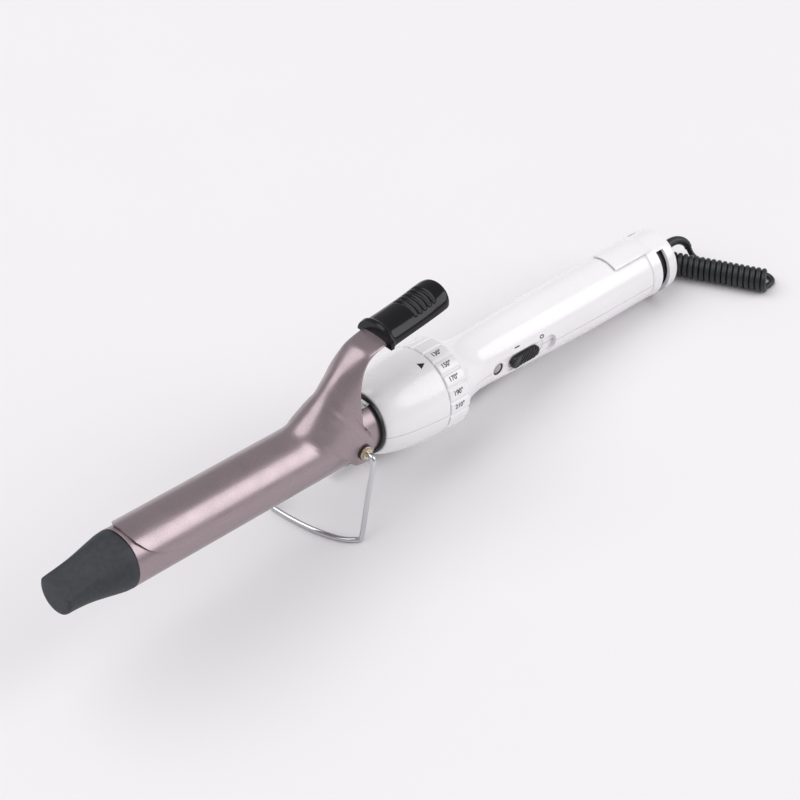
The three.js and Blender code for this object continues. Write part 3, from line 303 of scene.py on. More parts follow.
CERAMIC = material("ceramic_look", (0.78, 0.75, 0.68), 0.5, tint=0.05, grain=1800, bump=0.12)
BOARD = material("board_look", (0.03, 0.13, 0.05), 0.45, tint=0.15, grain=1400, bump=0.1)
AMBER = material("amber_look", (0.55, 0.30, 0.06), 0.35, tint=0.08, grain=1800, bump=0.05)
RED = material("red_sleeve_look", (0.35, 0.04, 0.03), 0.42, tint=0.08, grain=2200, bump=0.08)
BLUE = material("blue_sleeve_look", (0.04, 0.08, 0.32), 0.42, tint=0.08, grain=2200, bump=0.08)


# ------------------------------------------------------------------ pieces
def place(obj, mat, body, nodes=(), slot=None):
    obj.data.materials.clear()
    obj.data.materials.append(mat)
    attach(obj, body)
    if nodes:
        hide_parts(*nodes)
    return obj


def new_object(name, data):
    obj = bpy.data.objects.new(name, data)
    bpy.context.scene.collection.objects.link(obj)
    return obj


def solid(name, part, mat, slot, nodes=(), matrix=None, sharp=35, bevel=0.0, body=None):
    """One closed mesh piece from points in millimetres."""
    verts, faces = part
    me = bpy.data.meshes.new(name)
    me.from_pydata([(x * MM, y * MM, z * MM) for x, y, z in verts], [], faces)
    bm = bmesh.new()
    bm.from_mesh(me)
    bmesh.ops.remove_doubles(bm, verts=bm.verts, dist=2e-6)
    bmesh.ops.dissolve_degenerate(bm, edges=bm.edges, dist=1e-7)
    bmesh.ops.delete(bm, geom=[v for v in bm.verts if not v.link_faces], context="VERTS")
    bmesh.ops.delete(bm, geom=[e for e in bm.edges if not e.link_faces], context="EDGES")
    bmesh.ops.recalc_face_normals(bm, faces=bm.faces)
    bm.to_mesh(me)
    bm.free()
    me.transform(IRON if matrix is None else matrix)
    me.shade_smooth()
    me.set_sharp_from_angle(angle=sharp * RAD)
    obj = new_object(name, me)
    if bevel:
        mod = obj.modifiers.new("edge", "BEVEL")
        mod.width, mod.segments = bevel * MM, 3
        mod.limit_method, mod.angle_limit = "ANGLE", 40 * RAD
        mod.harden_normals = False
    return place(obj, mat, body or BODY_OF[nodes[0]], nodes, slot)


# ------------------------------------------------------------------ camera
CAM_AT = (-462.1, -526.5, 638.7)
CAM_FORWARD = Vector((0.5967, 0.5105, -0.6191)).normalized()
CAM_UP = Vector((0.393, 0.486, 0.780))
CAM_LENS, CAM_SENSOR = 111.06, 36.0
cam_right = CAM_FORWARD.cross(CAM_UP).normalized()
cam_up = cam_right.cross(CAM_FORWARD)
cam_data = bpy.data.cameras.new("camera")
cam_data.lens, cam_data.sensor_width = CAM_LENS, CAM_SENSOR
cam_data.clip_start, cam_data.clip_end = 0.01, 20
camera = bpy.data.objects.new("camera", cam_data)
bpy.context.scene.collection.objects.link(camera)
camera.matrix_world = (IRON @ Matrix.Translation(Vector(CAM_AT) * MM)
                       @ Matrix((cam_right, cam_up, -CAM_FORWARD)).transposed().to_4x4())
bpy.context.scene.camera = camera

# ------------------------------------------------------------------ cord route, floor frame
CORD_R = 1.3
EX, EZ = 318.74, 13.73  # where the cord leaves the drum
BOOT = [(0.1, 0, 0), (1.4, 0.05, -0.15), (3.6, 0.4, -0.1), (6.4, 0.9, 0.6), (10.0, 0.9, 0.9), (13.5, 0.5, 0.3),
        (16.6, -0.5, -1.2), (18.6, -1.7, -3.5), (19.4, -2.5, -5.9)]
BOOT_R0, BOOT_R1 = 2.5, 1.7
boot_points = [(EX + x, y, EZ + z) for x, y, z in BOOT]
LEAD = [(19.6, -3.0, EZ - 6.9), (19.9, -4.4, EZ - 9.1), (20.7, -6.6, EZ - 11.0), (22.8, -11.0, 1.65),
        (26.4, -17.2, 1.4), (30.2, -24.2, 1.4), (33.8, -31.0, 1.4), (35.2, -35.4, 1.4), (35.3, -38.9, 1.4),
        (33.9, -41.0, 1.4), (31.3, -41.6, 1.4)]
COIL_END, COIL_START = np.array([EX + 28.4, -41.5, 5.55]), np.array([EX + 7.6, -2.2, 5.55])
COIL_TURNS, COIL_MID_R, PER_TURN = 17, 4.2, 14
TAIL = [(4.6, -1.3, 1.4), (2.2, -0.6, 1.4), (0.4, 2.0, 1.4), (-1.2, 6.4, 1.4), (-4.2, 12.0, 1.4),
        (-9.4, 17.2, 1.4), (-20.0, 22.0, 1.4), (-35.0, 25.4, 1.4), (-50.0, 28.0, 1.4)]
HANK_Y, HANK_BACK, HANK_FRONT = 19.4, 242.9, 195.1
LANES = [(9.8, 1.4), (7.2, 1.4), (7.2, 4.0), (9.8, 4.0), (9.8, 6.6), (7.2, 6.6)]


def cord_route():
    pts = list(boot_points[:-1]) + [(EX + x, y, z) for x, y, z in LEAD]
    axis = COIL_START - COIL_END
    n = np.array([-axis[1], axis[0], 0]) / np.linalg.norm(axis)
    n = n if n[0] > 0 else -n
    steps = COIL_TURNS * PER_TURN
    for k in range(steps + 1):
        c = COIL_END + axis * k / steps
        a = -math.pi / 2 - 2 * math.pi * k / PER_TURN
        pts.append(tuple(c + COIL_MID_R * (math.cos(a) * n + math.sin(a) * np.array([0, 0, 1]))))
    pts += [(EX + x, y, z) for x, y, z in TAIL]
    pts.append((HANK_BACK + 10, HANK_Y + 9.9, 1.4))
    for i, (r, z) in enumerate(LANES):
        pts += [(x, HANK_Y + r, z) for x in np.linspace(HANK_BACK, HANK_FRONT, 4)]
        if i == len(LANES) - 1:
            break
        pts += [(HANK_FRONT - r * math.sin(a), HANK_Y + r * math.cos(a), z)
                for a in np.arange(1, 6) * math.pi / 6]
        pts += [(x, HANK_Y - r, z) for x in np.linspace(HANK_FRONT, HANK_BACK, 4)]
        r2, z2 = LANES[i + 1]
        for a in np.arange(1, 6) / 6:
            early, late = 1 - (1 - a) ** 2.4, a ** 2.4
            rr = r + (r2 - r) * (early if r2 > r else late)
            zz = z + (z2 - z) * early
            pts.append((HANK_BACK + rr * math.sin(a * math.pi), HANK_Y - rr * math.cos(a * math.pi), zz))
    pts += [(191.4, 26.2, 8.7), (187.4, 25.5, 9.3), (183.0, 24.7, 8.6), (179.0, 24.2, 7.2), (175.0, 24.0, 6.6)]
    return pts


def spline_object(name, points, radius, matrix):
    cu = bpy.data.curves.new(name, "CURVE")
    cu.dimensions = "3D"
    cu.bevel_depth, cu.bevel_resolution, cu.resolution_u = radius * MM, 4, 4
    cu.use_fill_caps = True
    sp = cu.splines.new("BEZIER")
    sp.bezier_points.add(len(points) - 1)
    for b, p in zip(sp.bezier_points, points):
        b.co = matrix @ (Vector(p) * MM)
        b.handle_left_type = b.handle_right_type = "AUTO"
    return new_object(name, cu)


cord = spline_object("cord_flex", cord_route(), CORD_R, FLOOR)
place(cord, CORD, "housing", ("cord_lead", "cord_coil", "cord_tail", "cord_hank", "cord_plug_lead"),
      "cord_rubber")

# strain relief: smooth tapered boot
boot_path = smooth_path(boot_points, 0.2)
s = np.linspace(0, 1, len(boot_path))
boot_r = BOOT_R0 + (BOOT_R1 - BOOT_R0) * s
boot_r[0] -= 0.3
boot_r[-1] -= 0.25
boot = solid("strain_relief_boot", sweep(boot_path, boot_r, 32), CORD, "cord_rubber", ("strain_relief",), FLOOR)

# tie round the hank
HANK_MID = (184 + 254) / 2
TIE_W, TIE_T = 4.0, 0.9
tie_line = fillet([(HANK_Y - 10.7, 0.45), (HANK_Y + 10.7, 0.45), (HANK_Y + 10.7, 7.8), (HANK_Y - 10.7, 7.8)],
                  1.6, 6, closed=True)
tie_line = np.array(tie_line)
tie_out = []
for dx, dr in fillet([(-TIE_W / 2, -TIE_T / 2), (TIE_W / 2, -TIE_T / 2), (TIE_W / 2, TIE_T / 2 - 0.1),
                      (-TIE_W / 2, TIE_T / 2 - 0.1)], 0.25, 3, closed=True):
    mid = tie_line.mean(0)
    out = (tie_line - mid)
    scale = 1 + dr / np.maximum(np.abs(out).max(1), 3.0)
    ring = mid + out * scale[:, None]
    tie_out.append([(HANK_MID + dx, y, max(z, 0.05)) for y, z in ring])
tie_out.append(tie_out[0])
tie = solid("cord_tie_band", loft(tie_out, caps=False), TIE, "black_plastic", ("cord_tie",), FLOOR)

# plug
PLUG_X1, PLUG_Y, PLUG_H = 170.0, 24.0, 13.0
plug_outline = fillet([(PLUG_X0, -11.5), (PLUG_X1 - 10, -11.5), (PLUG_X1 - 4, -8.5), (PLUG_X1, -4.5),
                       (PLUG_X1, 4.5), (PLUG_X1 - 4, 8.5), (PLUG_X1 - 10, 11.5), (PLUG_X0, 11.5)], 2.2, 6, True)
plug_mid = np.array([(PLUG_X0 + PLUG_X1) / 2, 0])
plug_rings = []
for inset, z in fillet([(6, 0), (0, 0), (0, PLUG_H), (6, PLUG_H)], 2.0, 6):
    ring = []
    for x, y in plug_outline:
        d = np.array([x, y]) - plug_mid
        k = 1 - inset / np.array([14.0, 11.5])
        grip = 0.5 * math.exp(-((x - 158) / 5.0) ** 2) * (1 if abs(y) > 6 else 0)
        ring.append((plug_mid[0] + d[0] * k[0], PLUG_Y + (d[1] - math.copysign(grip, d[1])) * k[1], z + 0.1))
    plug_rings.append(ring)
spigot = [(PLUG_X1 - 1, 3.4)]
for k in range(3):
    spigot += [(PLUG_X1 + 0.6 + 1.9 * k, 3.4 - 0.25 * k), (PLUG_X1 + 0.9 + 1.9 * k, 2.7 - 0.2 * k),
               (PLUG_X1 + 1.7 + 1.9 * k, 2.7 - 0.2 * k), (PLUG_X1 + 2.0 + 1.9 * k, 3.3 - 0.25 * k)]
spigot = [(PLUG_X1 - 1, 0)] + spigot[:-1] + [(PLUG_X1 + 6, 2.2), (PLUG_X1 + 6, 0)]
sv, sf = revolve(fillet(spigot, 0.2, 2), 48)
plug = solid("plug_shell", joined(loft(plug_rings), ([(x, y + PLUG_Y, z + 6.5) for x, y, z in sv], sf)),
             PLUG, "plug_plastic", ("plug_body",), FLOOR, sharp=45)

# ------------------------------------------------------------------ cool tip
BARREL_R, BARREL_WALL, BARREL_X0, BARREL_END = 12.5, 0.9, 0.15, 138
TIP_R = [[-31, 8.4], [-30.2, 8.8], [-27, 8.85], [-23, 9.05], [-19, 9.45], [-15, 10.1], [-11.5, 10.8], [-7, 11.7],
         [-3, 12.4], [0, 12.6]]
TIP_TOP = [[-31, 2.0], [-30.2, 2.4], [-24, 4.4], [-18, 6.7], [-12, 9.3], [-6, 11.8], [0, 13.2]]
TIP_SEG = 160


def tip_ring(x, shrink=1.0, at=None):
    r, top = float(through(TIP_R, x)[0, 0]) * shrink, float(through(TIP_TOP, x)[0, 0])
    ring = []
    for k in range(TIP_SEG):
        a = 2 * math.pi * k / TIP_SEG
        z, soft = r * math.sin(a), 0.5 + 1.1 * float(ease(-29, -4, x))
        z = -soft * math.log(math.exp(-z / soft) + math.exp(-(top * shrink) / soft)) if z > -9 else z
        ring.append((x if at is None else at, -r * math.cos(a), z))
    return ring


tip_rings = [tip_ring(-30.9, 0.3, -31.0), tip_ring(-30.9, 0.7, -31.0), tip_ring(-30.9, 0.93, -30.98),
             tip_ring(-30.9, 0.975, -30.8), tip_ring(-30.5, 0.995)]
tip_rings += [tip_ring(x) for x in np.linspace(-30.0, -0.25, 70)] + [tip_ring(-0.05, 0.985, 0)]
for x, r in ((0.02, 11.3), (9, 11.3)):
    tip_rings.append([(x, -r * math.cos(2 * math.pi * k / TIP_SEG), r * math.sin(2 * math.pi * k / TIP_SEG))
                      for k in range(TIP_SEG)])
solid("cool_tip_shell", loft(tip_rings), CHARCOAL, "tip_plastic", ("cool_tip",), sharp=50)

# ------------------------------------------------------------------ barrel
solid("barrel_tube", revolve(fillet([(BARREL_X0, BARREL_R - BARREL_WALL), (BARREL_X0, BARREL_R), (BARREL_END, BARREL_R),
                                     (BARREL_END, BARREL_R - BARREL_WALL)], 0.25, 3, True), 160),
      ROSE, "rose_paint", ("barrel",))

# ------------------------------------------------------------------ clamp jaw, neck and lever
CLAMP_RO, CLAMP_T, EDGE_DEG = 13.7, 0.75, 12.5
PIVOT_X, LEVER_Z, LEVER_HALF_W, LEVER_END = 118.0, 44.2, 7.0, 160.0
THUMB_SLOPE = math.tan(8.5 * RAD)


def slope_z(x):
    return LEVER_Z + (x - 134) * THUMB_SLOPE


def polar(x, y, z, arc, xt, zt):
    """Rib as [edge x, edge angle, edge radius, section arc start, top x, top z]"""
    a = math.degrees(math.atan2(z, y))
    return [x, a, math.hypot(y, z), a if arc is None else arc, xt, zt]


RIBS = [[2.6, 58, CLAMP_RO, 58, 1.5, CLAMP_RO], [5.5, 40, CLAMP_RO, 40, 4.6, CLAMP_RO],
        [8.1, 31, CLAMP_RO, 31, 7.6, CLAMP_RO], [11.2, 24, CLAMP_RO, 24, 11, CLAMP_RO],
        [15, 18, CLAMP_RO, 18, 15, CLAMP_RO], [20, 14.2, CLAMP_RO, 14.2, 20, CLAMP_RO]]
RIBS += [[xe, EDGE_DEG, CLAMP_RO, EDGE_DEG, xt, CLAMP_RO] for xe, xt in ((27, 27), (46, 44), (65, 61), (82, 76), (94, 84))]
RIBS += [[101, EDGE_DEG, CLAMP_RO, EDGE_DEG, 88, CLAMP_RO + 0.1]]
RIBS += [polar(*row) for row in (
    (105.5, 13.75, 2.0, None, 90.3, 14.2), (108.5, 14.0, -0.3, None, 92.4, 15.0),
    (111.5, 14.3, -3.3, None, 94.4, 16.2), (114.8, 14.4, -5.5, None, 96.4, 17.8),
    (118.6, 14.4, -6.1, None, 98.4, 19.6), (122.0, 14.4, -4.7, None, 100.4, 21.6),
    (123.8, 14.35, -1.7, None, 102.4, 23.6), (123.6, 14.2, 2.6, None, 104.2, 25.5),
    (121.4, 13.95, 6.2, None, 106.0, 27.5), (118.9, 13.6, 9.6, None, 107.8, 29.6),
    (117.6, 12.9, 13.4, 40, 109.6, 31.6), (117.2, 12.0, 17.6, 40, 111.4, 33.5),
    (117.2, 11.0, 22.2, 34, 113.4, 35.5), (117.6, 9.9, 27.0, 24, 115.4, 37.3),
    (118.8, 8.8, 31.6, 14, 117.6, 39.1), (120.8, 7.8, 36.0, 6, 120.2, 40.9),
    (124.0, 7.2, 39.7, 0, 123.6, 42.6), (128.6, LEVER_HALF_W, LEVER_Z - 2.4, 0, 128.2, LEVER_Z - 0.8),
    (134, LEVER_HALF_W, LEVER_Z - 1.2, 0, 134, LEVER_Z),
    (LEVER_END, LEVER_HALF_W - 0.6, slope_z(LEVER_END) - 1.2, 0, LEVER_END, slope_z(LEVER_END)))]
RIB_STEPS, RIB_COLS = 7, 72
rib_at = np.linspace(0, len(RIBS) - 1, (len(RIBS) - 1) * RIB_STEPS + 1)
rib_rows = through([[i] + r for i, r in enumerate(RIBS)], rib_at)


def clamp_row(row):
    xb, ang, rad, arc, xt, zt = row
    yb, zb = rad * math.cos(ang * RAD), rad * math.sin(ang * RAD)
    a0 = arc * RAD
    pts = []
    for j in range(RIB_COLS + 1):
        side = abs(2 * j / RIB_COLS - 1)
        a = a0 + (math.pi / 2 - a0) * (1 - side)
        f = (math.sin(a) - math.sin(a0)) / (1 - math.sin(a0))
        y = yb if a < 0 else yb * math.cos(a) / math.cos(max(a0, 0))
        pts.append((xb + (xt - xb) * f, -y if j < RIB_COLS / 2 else y, zb + (zt - zb) * f))
    return pts


clamp_out = np.array([clamp_row(r) for r in rib_rows])


def inward(grid, thickness):
    du, dv = np.gradient(grid, axis=0), np.gradient(grid, axis=1)
    n = np.cross(dv, du)
    n /= np.maximum(np.linalg.norm(n, axis=2), 1e-9)[..., None]
    return grid + n * thickness


clamp_in = inward(clamp_out, CLAMP_T)
solid("clamp_plate", shell(clamp_out, clamp_in), ROSE, "rose_paint", ("clamp",), bevel=0.16, sharp=45)

# ------------------------------------------------------------------ thumb rest
THUMB_X0, THUMB_X1 = 133.2, 168.6
THUMB = [[THUMB_X0, 9.7, 7.3, -0.4], [THUMB_X0 + 1.7, 9.9, 7.6, -0.3], [THUMB_X0 + 2.3, 9.3, 6.9, -0.1],
         [THUMB_X0 + 3.8, 9.0, 6.5, 0], [145, 8.9, 6.2, 0], [152, 8.9, 6.2, 0], [158, 8.9, 6.5, 0.1],
         [162, 8.9, 6.9, 0.25], [165.5, 8.8, 7.0, 0.4], [167.3, 8.3, 6.9, 0.5], [168.2, 7.4, 6.4, 0.7],
         [THUMB_X1, 6.2, 5.6, 1.0]]
GRIP_X, GRIP_STEP, GRIP_N, GRIP_BOW, GRIP_W, GRIP_DEPTH = 150.6, 2.55, 5, 0.4, 0.62, 0.9
ARCH = 72


def thumb_ring(x, shrink=1.0):
    w, h, lift = through(THUMB, x)[0] * (shrink, shrink, 1)
    base = slope_z(x) - 2.1 + lift + (1 - shrink) * 3
    ring = []
    for k in range(ARCH + 1):
        a = math.pi * k / ARCH
        y, z = w * math.cos(a), base + h * math.sin(a) ** 0.9
        lines = sum(math.exp(-((x - GRIP_X - GRIP_STEP * g + GRIP_BOW * (y / 6) ** 2) / GRIP_W) ** 2)
                    for g in range(GRIP_N))
        z -= GRIP_DEPTH * lines * float(1 - ease(5.4, 6.6, abs(y)))
        ring.append((x, y, z))
    ring += [(x, -w + 2 * w * k / 12, base) for k in range(1, 12)]
    return ring


thumb_x = np.concatenate([[THUMB_X0 + 0.05, THUMB_X0 + 0.25], np.linspace(THUMB_X0 + 0.5, 149, 60),
                          np.linspace(149.15, 163, 92), np.linspace(163.3, THUMB_X1, 26)])
thumb_rings = [[(THUMB_X0, y, z) for _, y, z in thumb_ring(THUMB_X0, 0.94)]] + [thumb_ring(x) for x in thumb_x]
solid("thumb_rest_cap", loft(thumb_rings), GLOSS_BLACK, "black_plastic", ("thumb_rest",), sharp=50)

# ------------------------------------------------------------------ leaf spring
SPRING_PATH = [[98.8, 15.9], [100.8, 17.8], [103.6, 20.6], [105.8, 22.3], [107.8, 22.8], [110.2, 22.2],
               [113, 20.2], [116.5, 17.2], [120, 15.0], [123.5, 13.75], [126.2, 13.35], [128.2, 13.9]]
LEAF_WIDER = 0.44  # share of width gained towards the free end
leaf_path = smooth_path([(x, 0, z) for x, z in SPRING_PATH], 0.35)
leaf_cut = fillet([(-3.6, -0.25), (3.6, -0.25), (3.6, 0.25), (-3.6, 0.25)], 0.12, 2, True)
leaf_rings = [[p + u * t + np.array([0, w * (1 + LEAF_WIDER * float(ease(112.5, 114.5, p[0]))), 0])
               for w, t in leaf_cut] for p, u, _ in frames_along(leaf_path)]
leaf = solid("clamp_spring_leaf", loft(leaf_rings), SPRING, "spring_steel", ("clamp_spring",))
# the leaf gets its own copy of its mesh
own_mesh(leaf)

# ------------------------------------------------------------------ hinge screws and collars
SCREW_FACE, HEX_FROM_X, HEX_HALF_ACROSS, HEX_ROUND_R = 16.6, 15.6, 2.3, 2.62


def hex_radius(a, across, round_r):
    step = math.pi / 3
    return min(across / math.cos((a + step / 2) % step - step / 2), round_r)


def screw_part():
    prof = fillet([(12.85, 1.2), (12.85, 1.9), (15.2, 1.9), (15.2, 3.0), (15.55, 3.0), (15.56, 2.75),
                   (SCREW_FACE, 2.75), (SCREW_FACE, 1.25), (14.5, 1.2)], 0.16, 3, True)
    return facing_side(revolve(prof, 96, lambda x, r, a: r if x < HEX_FROM_X or r < 2.0 else
                               min(r, hex_radius(a, HEX_HALF_ACROSS, HEX_ROUND_R))), PIVOT_X)


def collar_part():
    prof = fillet([(14.72, 2.1), (14.72, 3.3), (15.15, 3.4), (15.15, 2.1)], 0.14, 3, True)
    return facing_side(revolve(prof, 96), PIVOT_X)


for side, flip in (("near", False), ("far", True)):
    for stem, part, mat, slot in (("pivot_screw", screw_part(), BRASS, "screw_brass"),
                                  ("pivot_washer", collar_part(), COLLAR, "black_plastic")):
        part = mirrored_y(part) if flip else part
        solid(f"{stem}_{side}_turned", part, mat, slot, (f"{stem}_{side}",))

# ------------------------------------------------------------------ wire stand
STAND_Y, STAND_DROP, STAND_SWEEP, WIRE_R = 20.0, 43.5, 14.4, 1.15
tilt = math.atan2(-axis_x.z, axis_x.x)


def foot_z(dx):
    return -STAND_DROP - abs(dx) * math.tan(tilt)


def stand_leg(side, dx, dy):
    pts = [(0, 13.9, 0), (0, 18.2, 0), (0, 19.5, -0.5), (0, STAND_Y, -1.8), (dx * 0.33, STAND_Y + dy * 0.33, -14),
           (dx * 0.66, STAND_Y + dy * 0.66, -28), (dx, STAND_Y + dy, foot_z(dx) + 2.2)]
    return [(PIVOT_X + x, side * y, z) for x, y, z in pts]


foot = [(PIVOT_X - STAND_SWEEP * f, y, foot_z(STAND_SWEEP * f)) for f, y in (
    (0.11, -18.8), (0.22, -17.4), (0.38, -15.0), (0.57, -9.9), (0.79, -0.2), (0.94, 11.0), (0.995, 18.8), (1, 21.2))]
stand = stand_leg(-1, -1.4, -0.9) + foot + stand_leg(1, 0.2 - STAND_SWEEP, 1.9)[::-1]
solid("stand_wire_bent", sweep(smooth_path(stand, 0.6), WIRE_R, 24), CHROME, "stand_chrome", ("stand_wire",))

# ------------------------------------------------------------------ heat ring
ring_prof = fillet([(129.3, 12.75), (129.3, 13.7), (129.65, 14.0), (130.7, 14.0), (130.7, 13.2), (132.9, 13.2),
                    (132.9, 12.75)], 0.2, 3, True)
solid("heat_ring_moulded", revolve(ring_prof, 160),
      RING_BLACK, "black_plastic", ("heat_ring",))

# ------------------------------------------------------------------ housing halves
WALL, SEAM, GROOVE_R, HANDLE_R, HOUSING_END = 1.9, 0.12, 16.9, 14.3, 302.3
BELL = [[131.3, 14.62], [133.5, 15.75], [137, 16.9], [141.5, 18.0], [146, 18.8], [152, 19.6], [158, 20.1],
        [162.5, 20.3]]
NECK = [[175.5, 18.75], [176.6, 17.7], [178.6, 16.5], [181, 15.4], [184, 14.3], [188, 13.25], [193, 12.6],
        [199, 12.5], [206, 12.75], [215, 13.05], [230, 13.5], [245, 13.9], [260, 14.2], [272, HANDLE_R],
        [302.0, HANDLE_R]]
REC_X0, REC_X1, REC_HALF, REC_FLOOR = 197.6, 236.4, 4.1, -11.75
SLOT_X0, SLOT_X1, SLOT_HALF, SLOT_DEEP = 208.0, 229.8, 3.35, 0.6
LAMP_X = 201.5


def stadium(x, z, x0, x1, half):
    """Signed distance to a flat-sided outline with round ends"""
    cx = np.clip(x, x0 + half, x1 - half)
    return np.hypot(x - cx, z) - half


def housing_line():
    rows = [(131.0, 13.7), (131.02, 14.2), (131.12, 14.45)]
    rows += [(x, float(through(BELL, x)[0, 0])) for x in np.linspace(131.3, 162.3, 36)]
    rows += [(162.6, 20.2), (162.75, 20.05), (162.8, 19.8), (162.8, GROOVE_R), (175.2, GROOVE_R), (175.2, 18.3),
             (175.24, 18.6), (175.34, 18.75), (175.5, 18.75)]
    xs = np.concatenate([np.linspace(175.7, 196.8, 40), np.linspace(197.1, 237.0, 160),
                         np.linspace(238, 301.9, 36)])
    rows += [(x, float(through(NECK, x)[0, 0])) for x in xs]
    return rows + [(302.15, HANDLE_R - 0.05), (302.27, HANDLE_R - 0.15), (HOUSING_END, HANDLE_R - 0.4)]


line = housing_line()


def housing_half(up):
    near = np.concatenate([np.linspace(0, 24, 34), np.linspace(27, 180, 52)]) * RAD
    outer, inner = [], []
    for x, r in line:
        gap = math.asin(SEAM / r)
        a = gap + near * (math.pi - 2 * gap) / math.pi
        lip = 0.14 * np.exp(-np.minimum(a - gap, math.pi - gap - a) * r / 0.12)
        rr = r - lip
        y, z = -rr * np.cos(a), rr * np.sin(a) * (1 if up else -1)
        inside = 1 - ease(-0.12, 0.2, stadium(x, z, REC_X0, REC_X1, REC_HALF))
        y = y + inside * np.where(y < 0, np.maximum(0, REC_FLOOR - y), 0)
        deeper = 1 - ease(-0.12, 0.15, stadium(x, z, SLOT_X0, SLOT_X1, SLOT_HALF))
        hole = 1 - ease(2.75, 2.95, np.hypot(x - LAMP_X, z))
        y = y + np.where(y < 0, SLOT_DEEP * deeper + 1.0 * hole, 0)
        outer.append(np.stack([np.full_like(a, x), y, z], axis=1))
        ri = (15.0 if 161 < x < 177.2 else r - WALL)
        ri = max(ri, 9.8)
        inner.append(np.stack([np.full_like(a, x), -ri * np.cos(a), ri * np.sin(a) * (1 if up else -1)], axis=1))
    return shell(np.array(outer), np.array(inner))


solid("housing_upper_shell", housing_half(True), WHITE, "white_plastic", ("housing_upper",))
solid("housing_lower_shell", housing_half(False), WHITE, "white_plastic", ("housing_lower",))


# ------------------------------------------------------------------ prints: pointer, dial numbers, switch marks
def decal(name, mesh, at_x, at_deg, radius, mat, slot, body, turned=False, lift=0.05):
    """Lays a flat mesh (u right, v up, in mm) on the round at at_x, at_deg; turned marks read across the iron."""
    bm = bmesh.new()
    bm.from_mesh(mesh)
    bmesh.ops.triangulate(bm, faces=bm.faces)
    for axis in (0, 1):
        for cut in np.arange(-6, 6.01, 0.5):
            co = Vector((cut, 0, 0)) if axis == 0 else Vector((0, cut, 0))
            no = Vector((1, 0, 0)) if axis == 0 else Vector((0, 1, 0))
            bmesh.ops.bisect_plane(bm, geom=bm.verts[:] + bm.edges[:] + bm.faces[:], plane_co=co, plane_no=no)
    top = bmesh.ops.extrude_face_region(bm, geom=bm.faces[:])
    raised = {v for v in top["geom"] if isinstance(v, bmesh.types.BMVert)}
    for v in bm.verts:
        u, w = v.co.x, v.co.y
        x, around = (at_x - w, u) if turned else (at_x + u, w)
        r = (radius(x) if callable(radius) else radius) + (lift if v in raised else -0.05)
        a = at_deg * RAD + around / r
        v.co = Vector((x, -r * math.cos(a), r * math.sin(a))) * MM
    bmesh.ops.recalc_face_normals(bm, faces=bm.faces)
    me = bpy.data.meshes.new(name)
    bm.to_mesh(me)
    bm.free()
    me.transform(IRON)
    return place(new_object(name, me), mat, body, (), slot)


def text_mesh(text, height, bold=0.0):
    cu = bpy.data.curves.new("text", "FONT")
    cu.body, cu.align_x, cu.align_y = text, "CENTER", "CENTER"
    cu.size, cu.resolution_u, cu.offset = height / 0.7, 5, bold
    obj = bpy.data.objects.new("text", cu)
    bpy.context.scene.collection.objects.link(obj)
    bpy.context.view_layer.update()
    me = bpy.data.meshes.new_from_object(obj.evaluated_get(bpy.context.evaluated_depsgraph_get()))
    bpy.data.objects.remove(obj)
    return me


pointer = bpy.data.meshes.new("pointer")
pointer.from_pydata([(-1.35, 1.62, 0), (-1.35, -1.62, 0), (1.75, 0, 0)], [], [(0, 1, 2)])
decal("dial_pointer_print", pointer, 158.3, 75.1, lambda x: float(through(BELL, x)[0, 0]), PRINT, "black_plastic",
      "housing")
DIAL_R, DIAL_PADS = 20.45, 20
for text, deg in (("130°", 78.7), ("150°", 60.6), ("170°", 42.8), ("190°", 24.8), ("210°", 7.4)):
    decal(f"dial_number_{text[:3]}", text_mesh(text, 2.05, 0.06), 168.3, deg, DIAL_R, PRINT, "black_plastic",
          "dial")


def neck_r(x):
    return float(through(NECK, x)[0, 0])


decal("switch_mark_1", text_mesh("1", 2.9, 0.06), 213.0, 29.5, neck_r, PRINT, "black_plastic", "housing",
      turned=True)
decal("switch_mark_0", text_mesh("0", 2.6, 0.04), 228.0, 24.0, neck_r, PRINT, "black_plastic", "housing",
      turned=True)

# ------------------------------------------------------------------ thermostat dial
DIAL_X0, DIAL_X1, PAD_GROOVE, PAD_DEPTH, PAD_PHASE = 163.35, 174.65, 0.62, 0.6, 69.0


def dial_radius(x, r, a):
    if r < 19.0:
        return r
    step = 2 * math.pi / DIAL_PADS
    off = ((a - PAD_PHASE * RAD + step / 2) % step) - step / 2
    dist = abs(off) * DIAL_R
    groove = 1 - float(ease(PAD_GROOVE - 0.3, PAD_GROOVE + 0.25, dist))
    crown = 0.10 * (dist / (step * DIAL_R / 2) - 1) ** 2
    return r - PAD_DEPTH * groove - crown


dial_prof = fillet([(DIAL_X0, 17.2), (DIAL_X0, DIAL_R), (DIAL_X1, DIAL_R), (DIAL_X1, 17.2)], 0.6, 5, True)
solid("dial_ring_grip", revolve(dial_prof, 600, dial_radius), WHITE, "white_plastic", ("dial_ring",), sharp=50)

# ------------------------------------------------------------------ switch knob
KNOB_X0, KNOB_X1, KNOB_HALF, KNOB_BASE, KNOB_H = 208.5, 225.9, 3.0, -12.05, 1.95
KNOB_N = 320


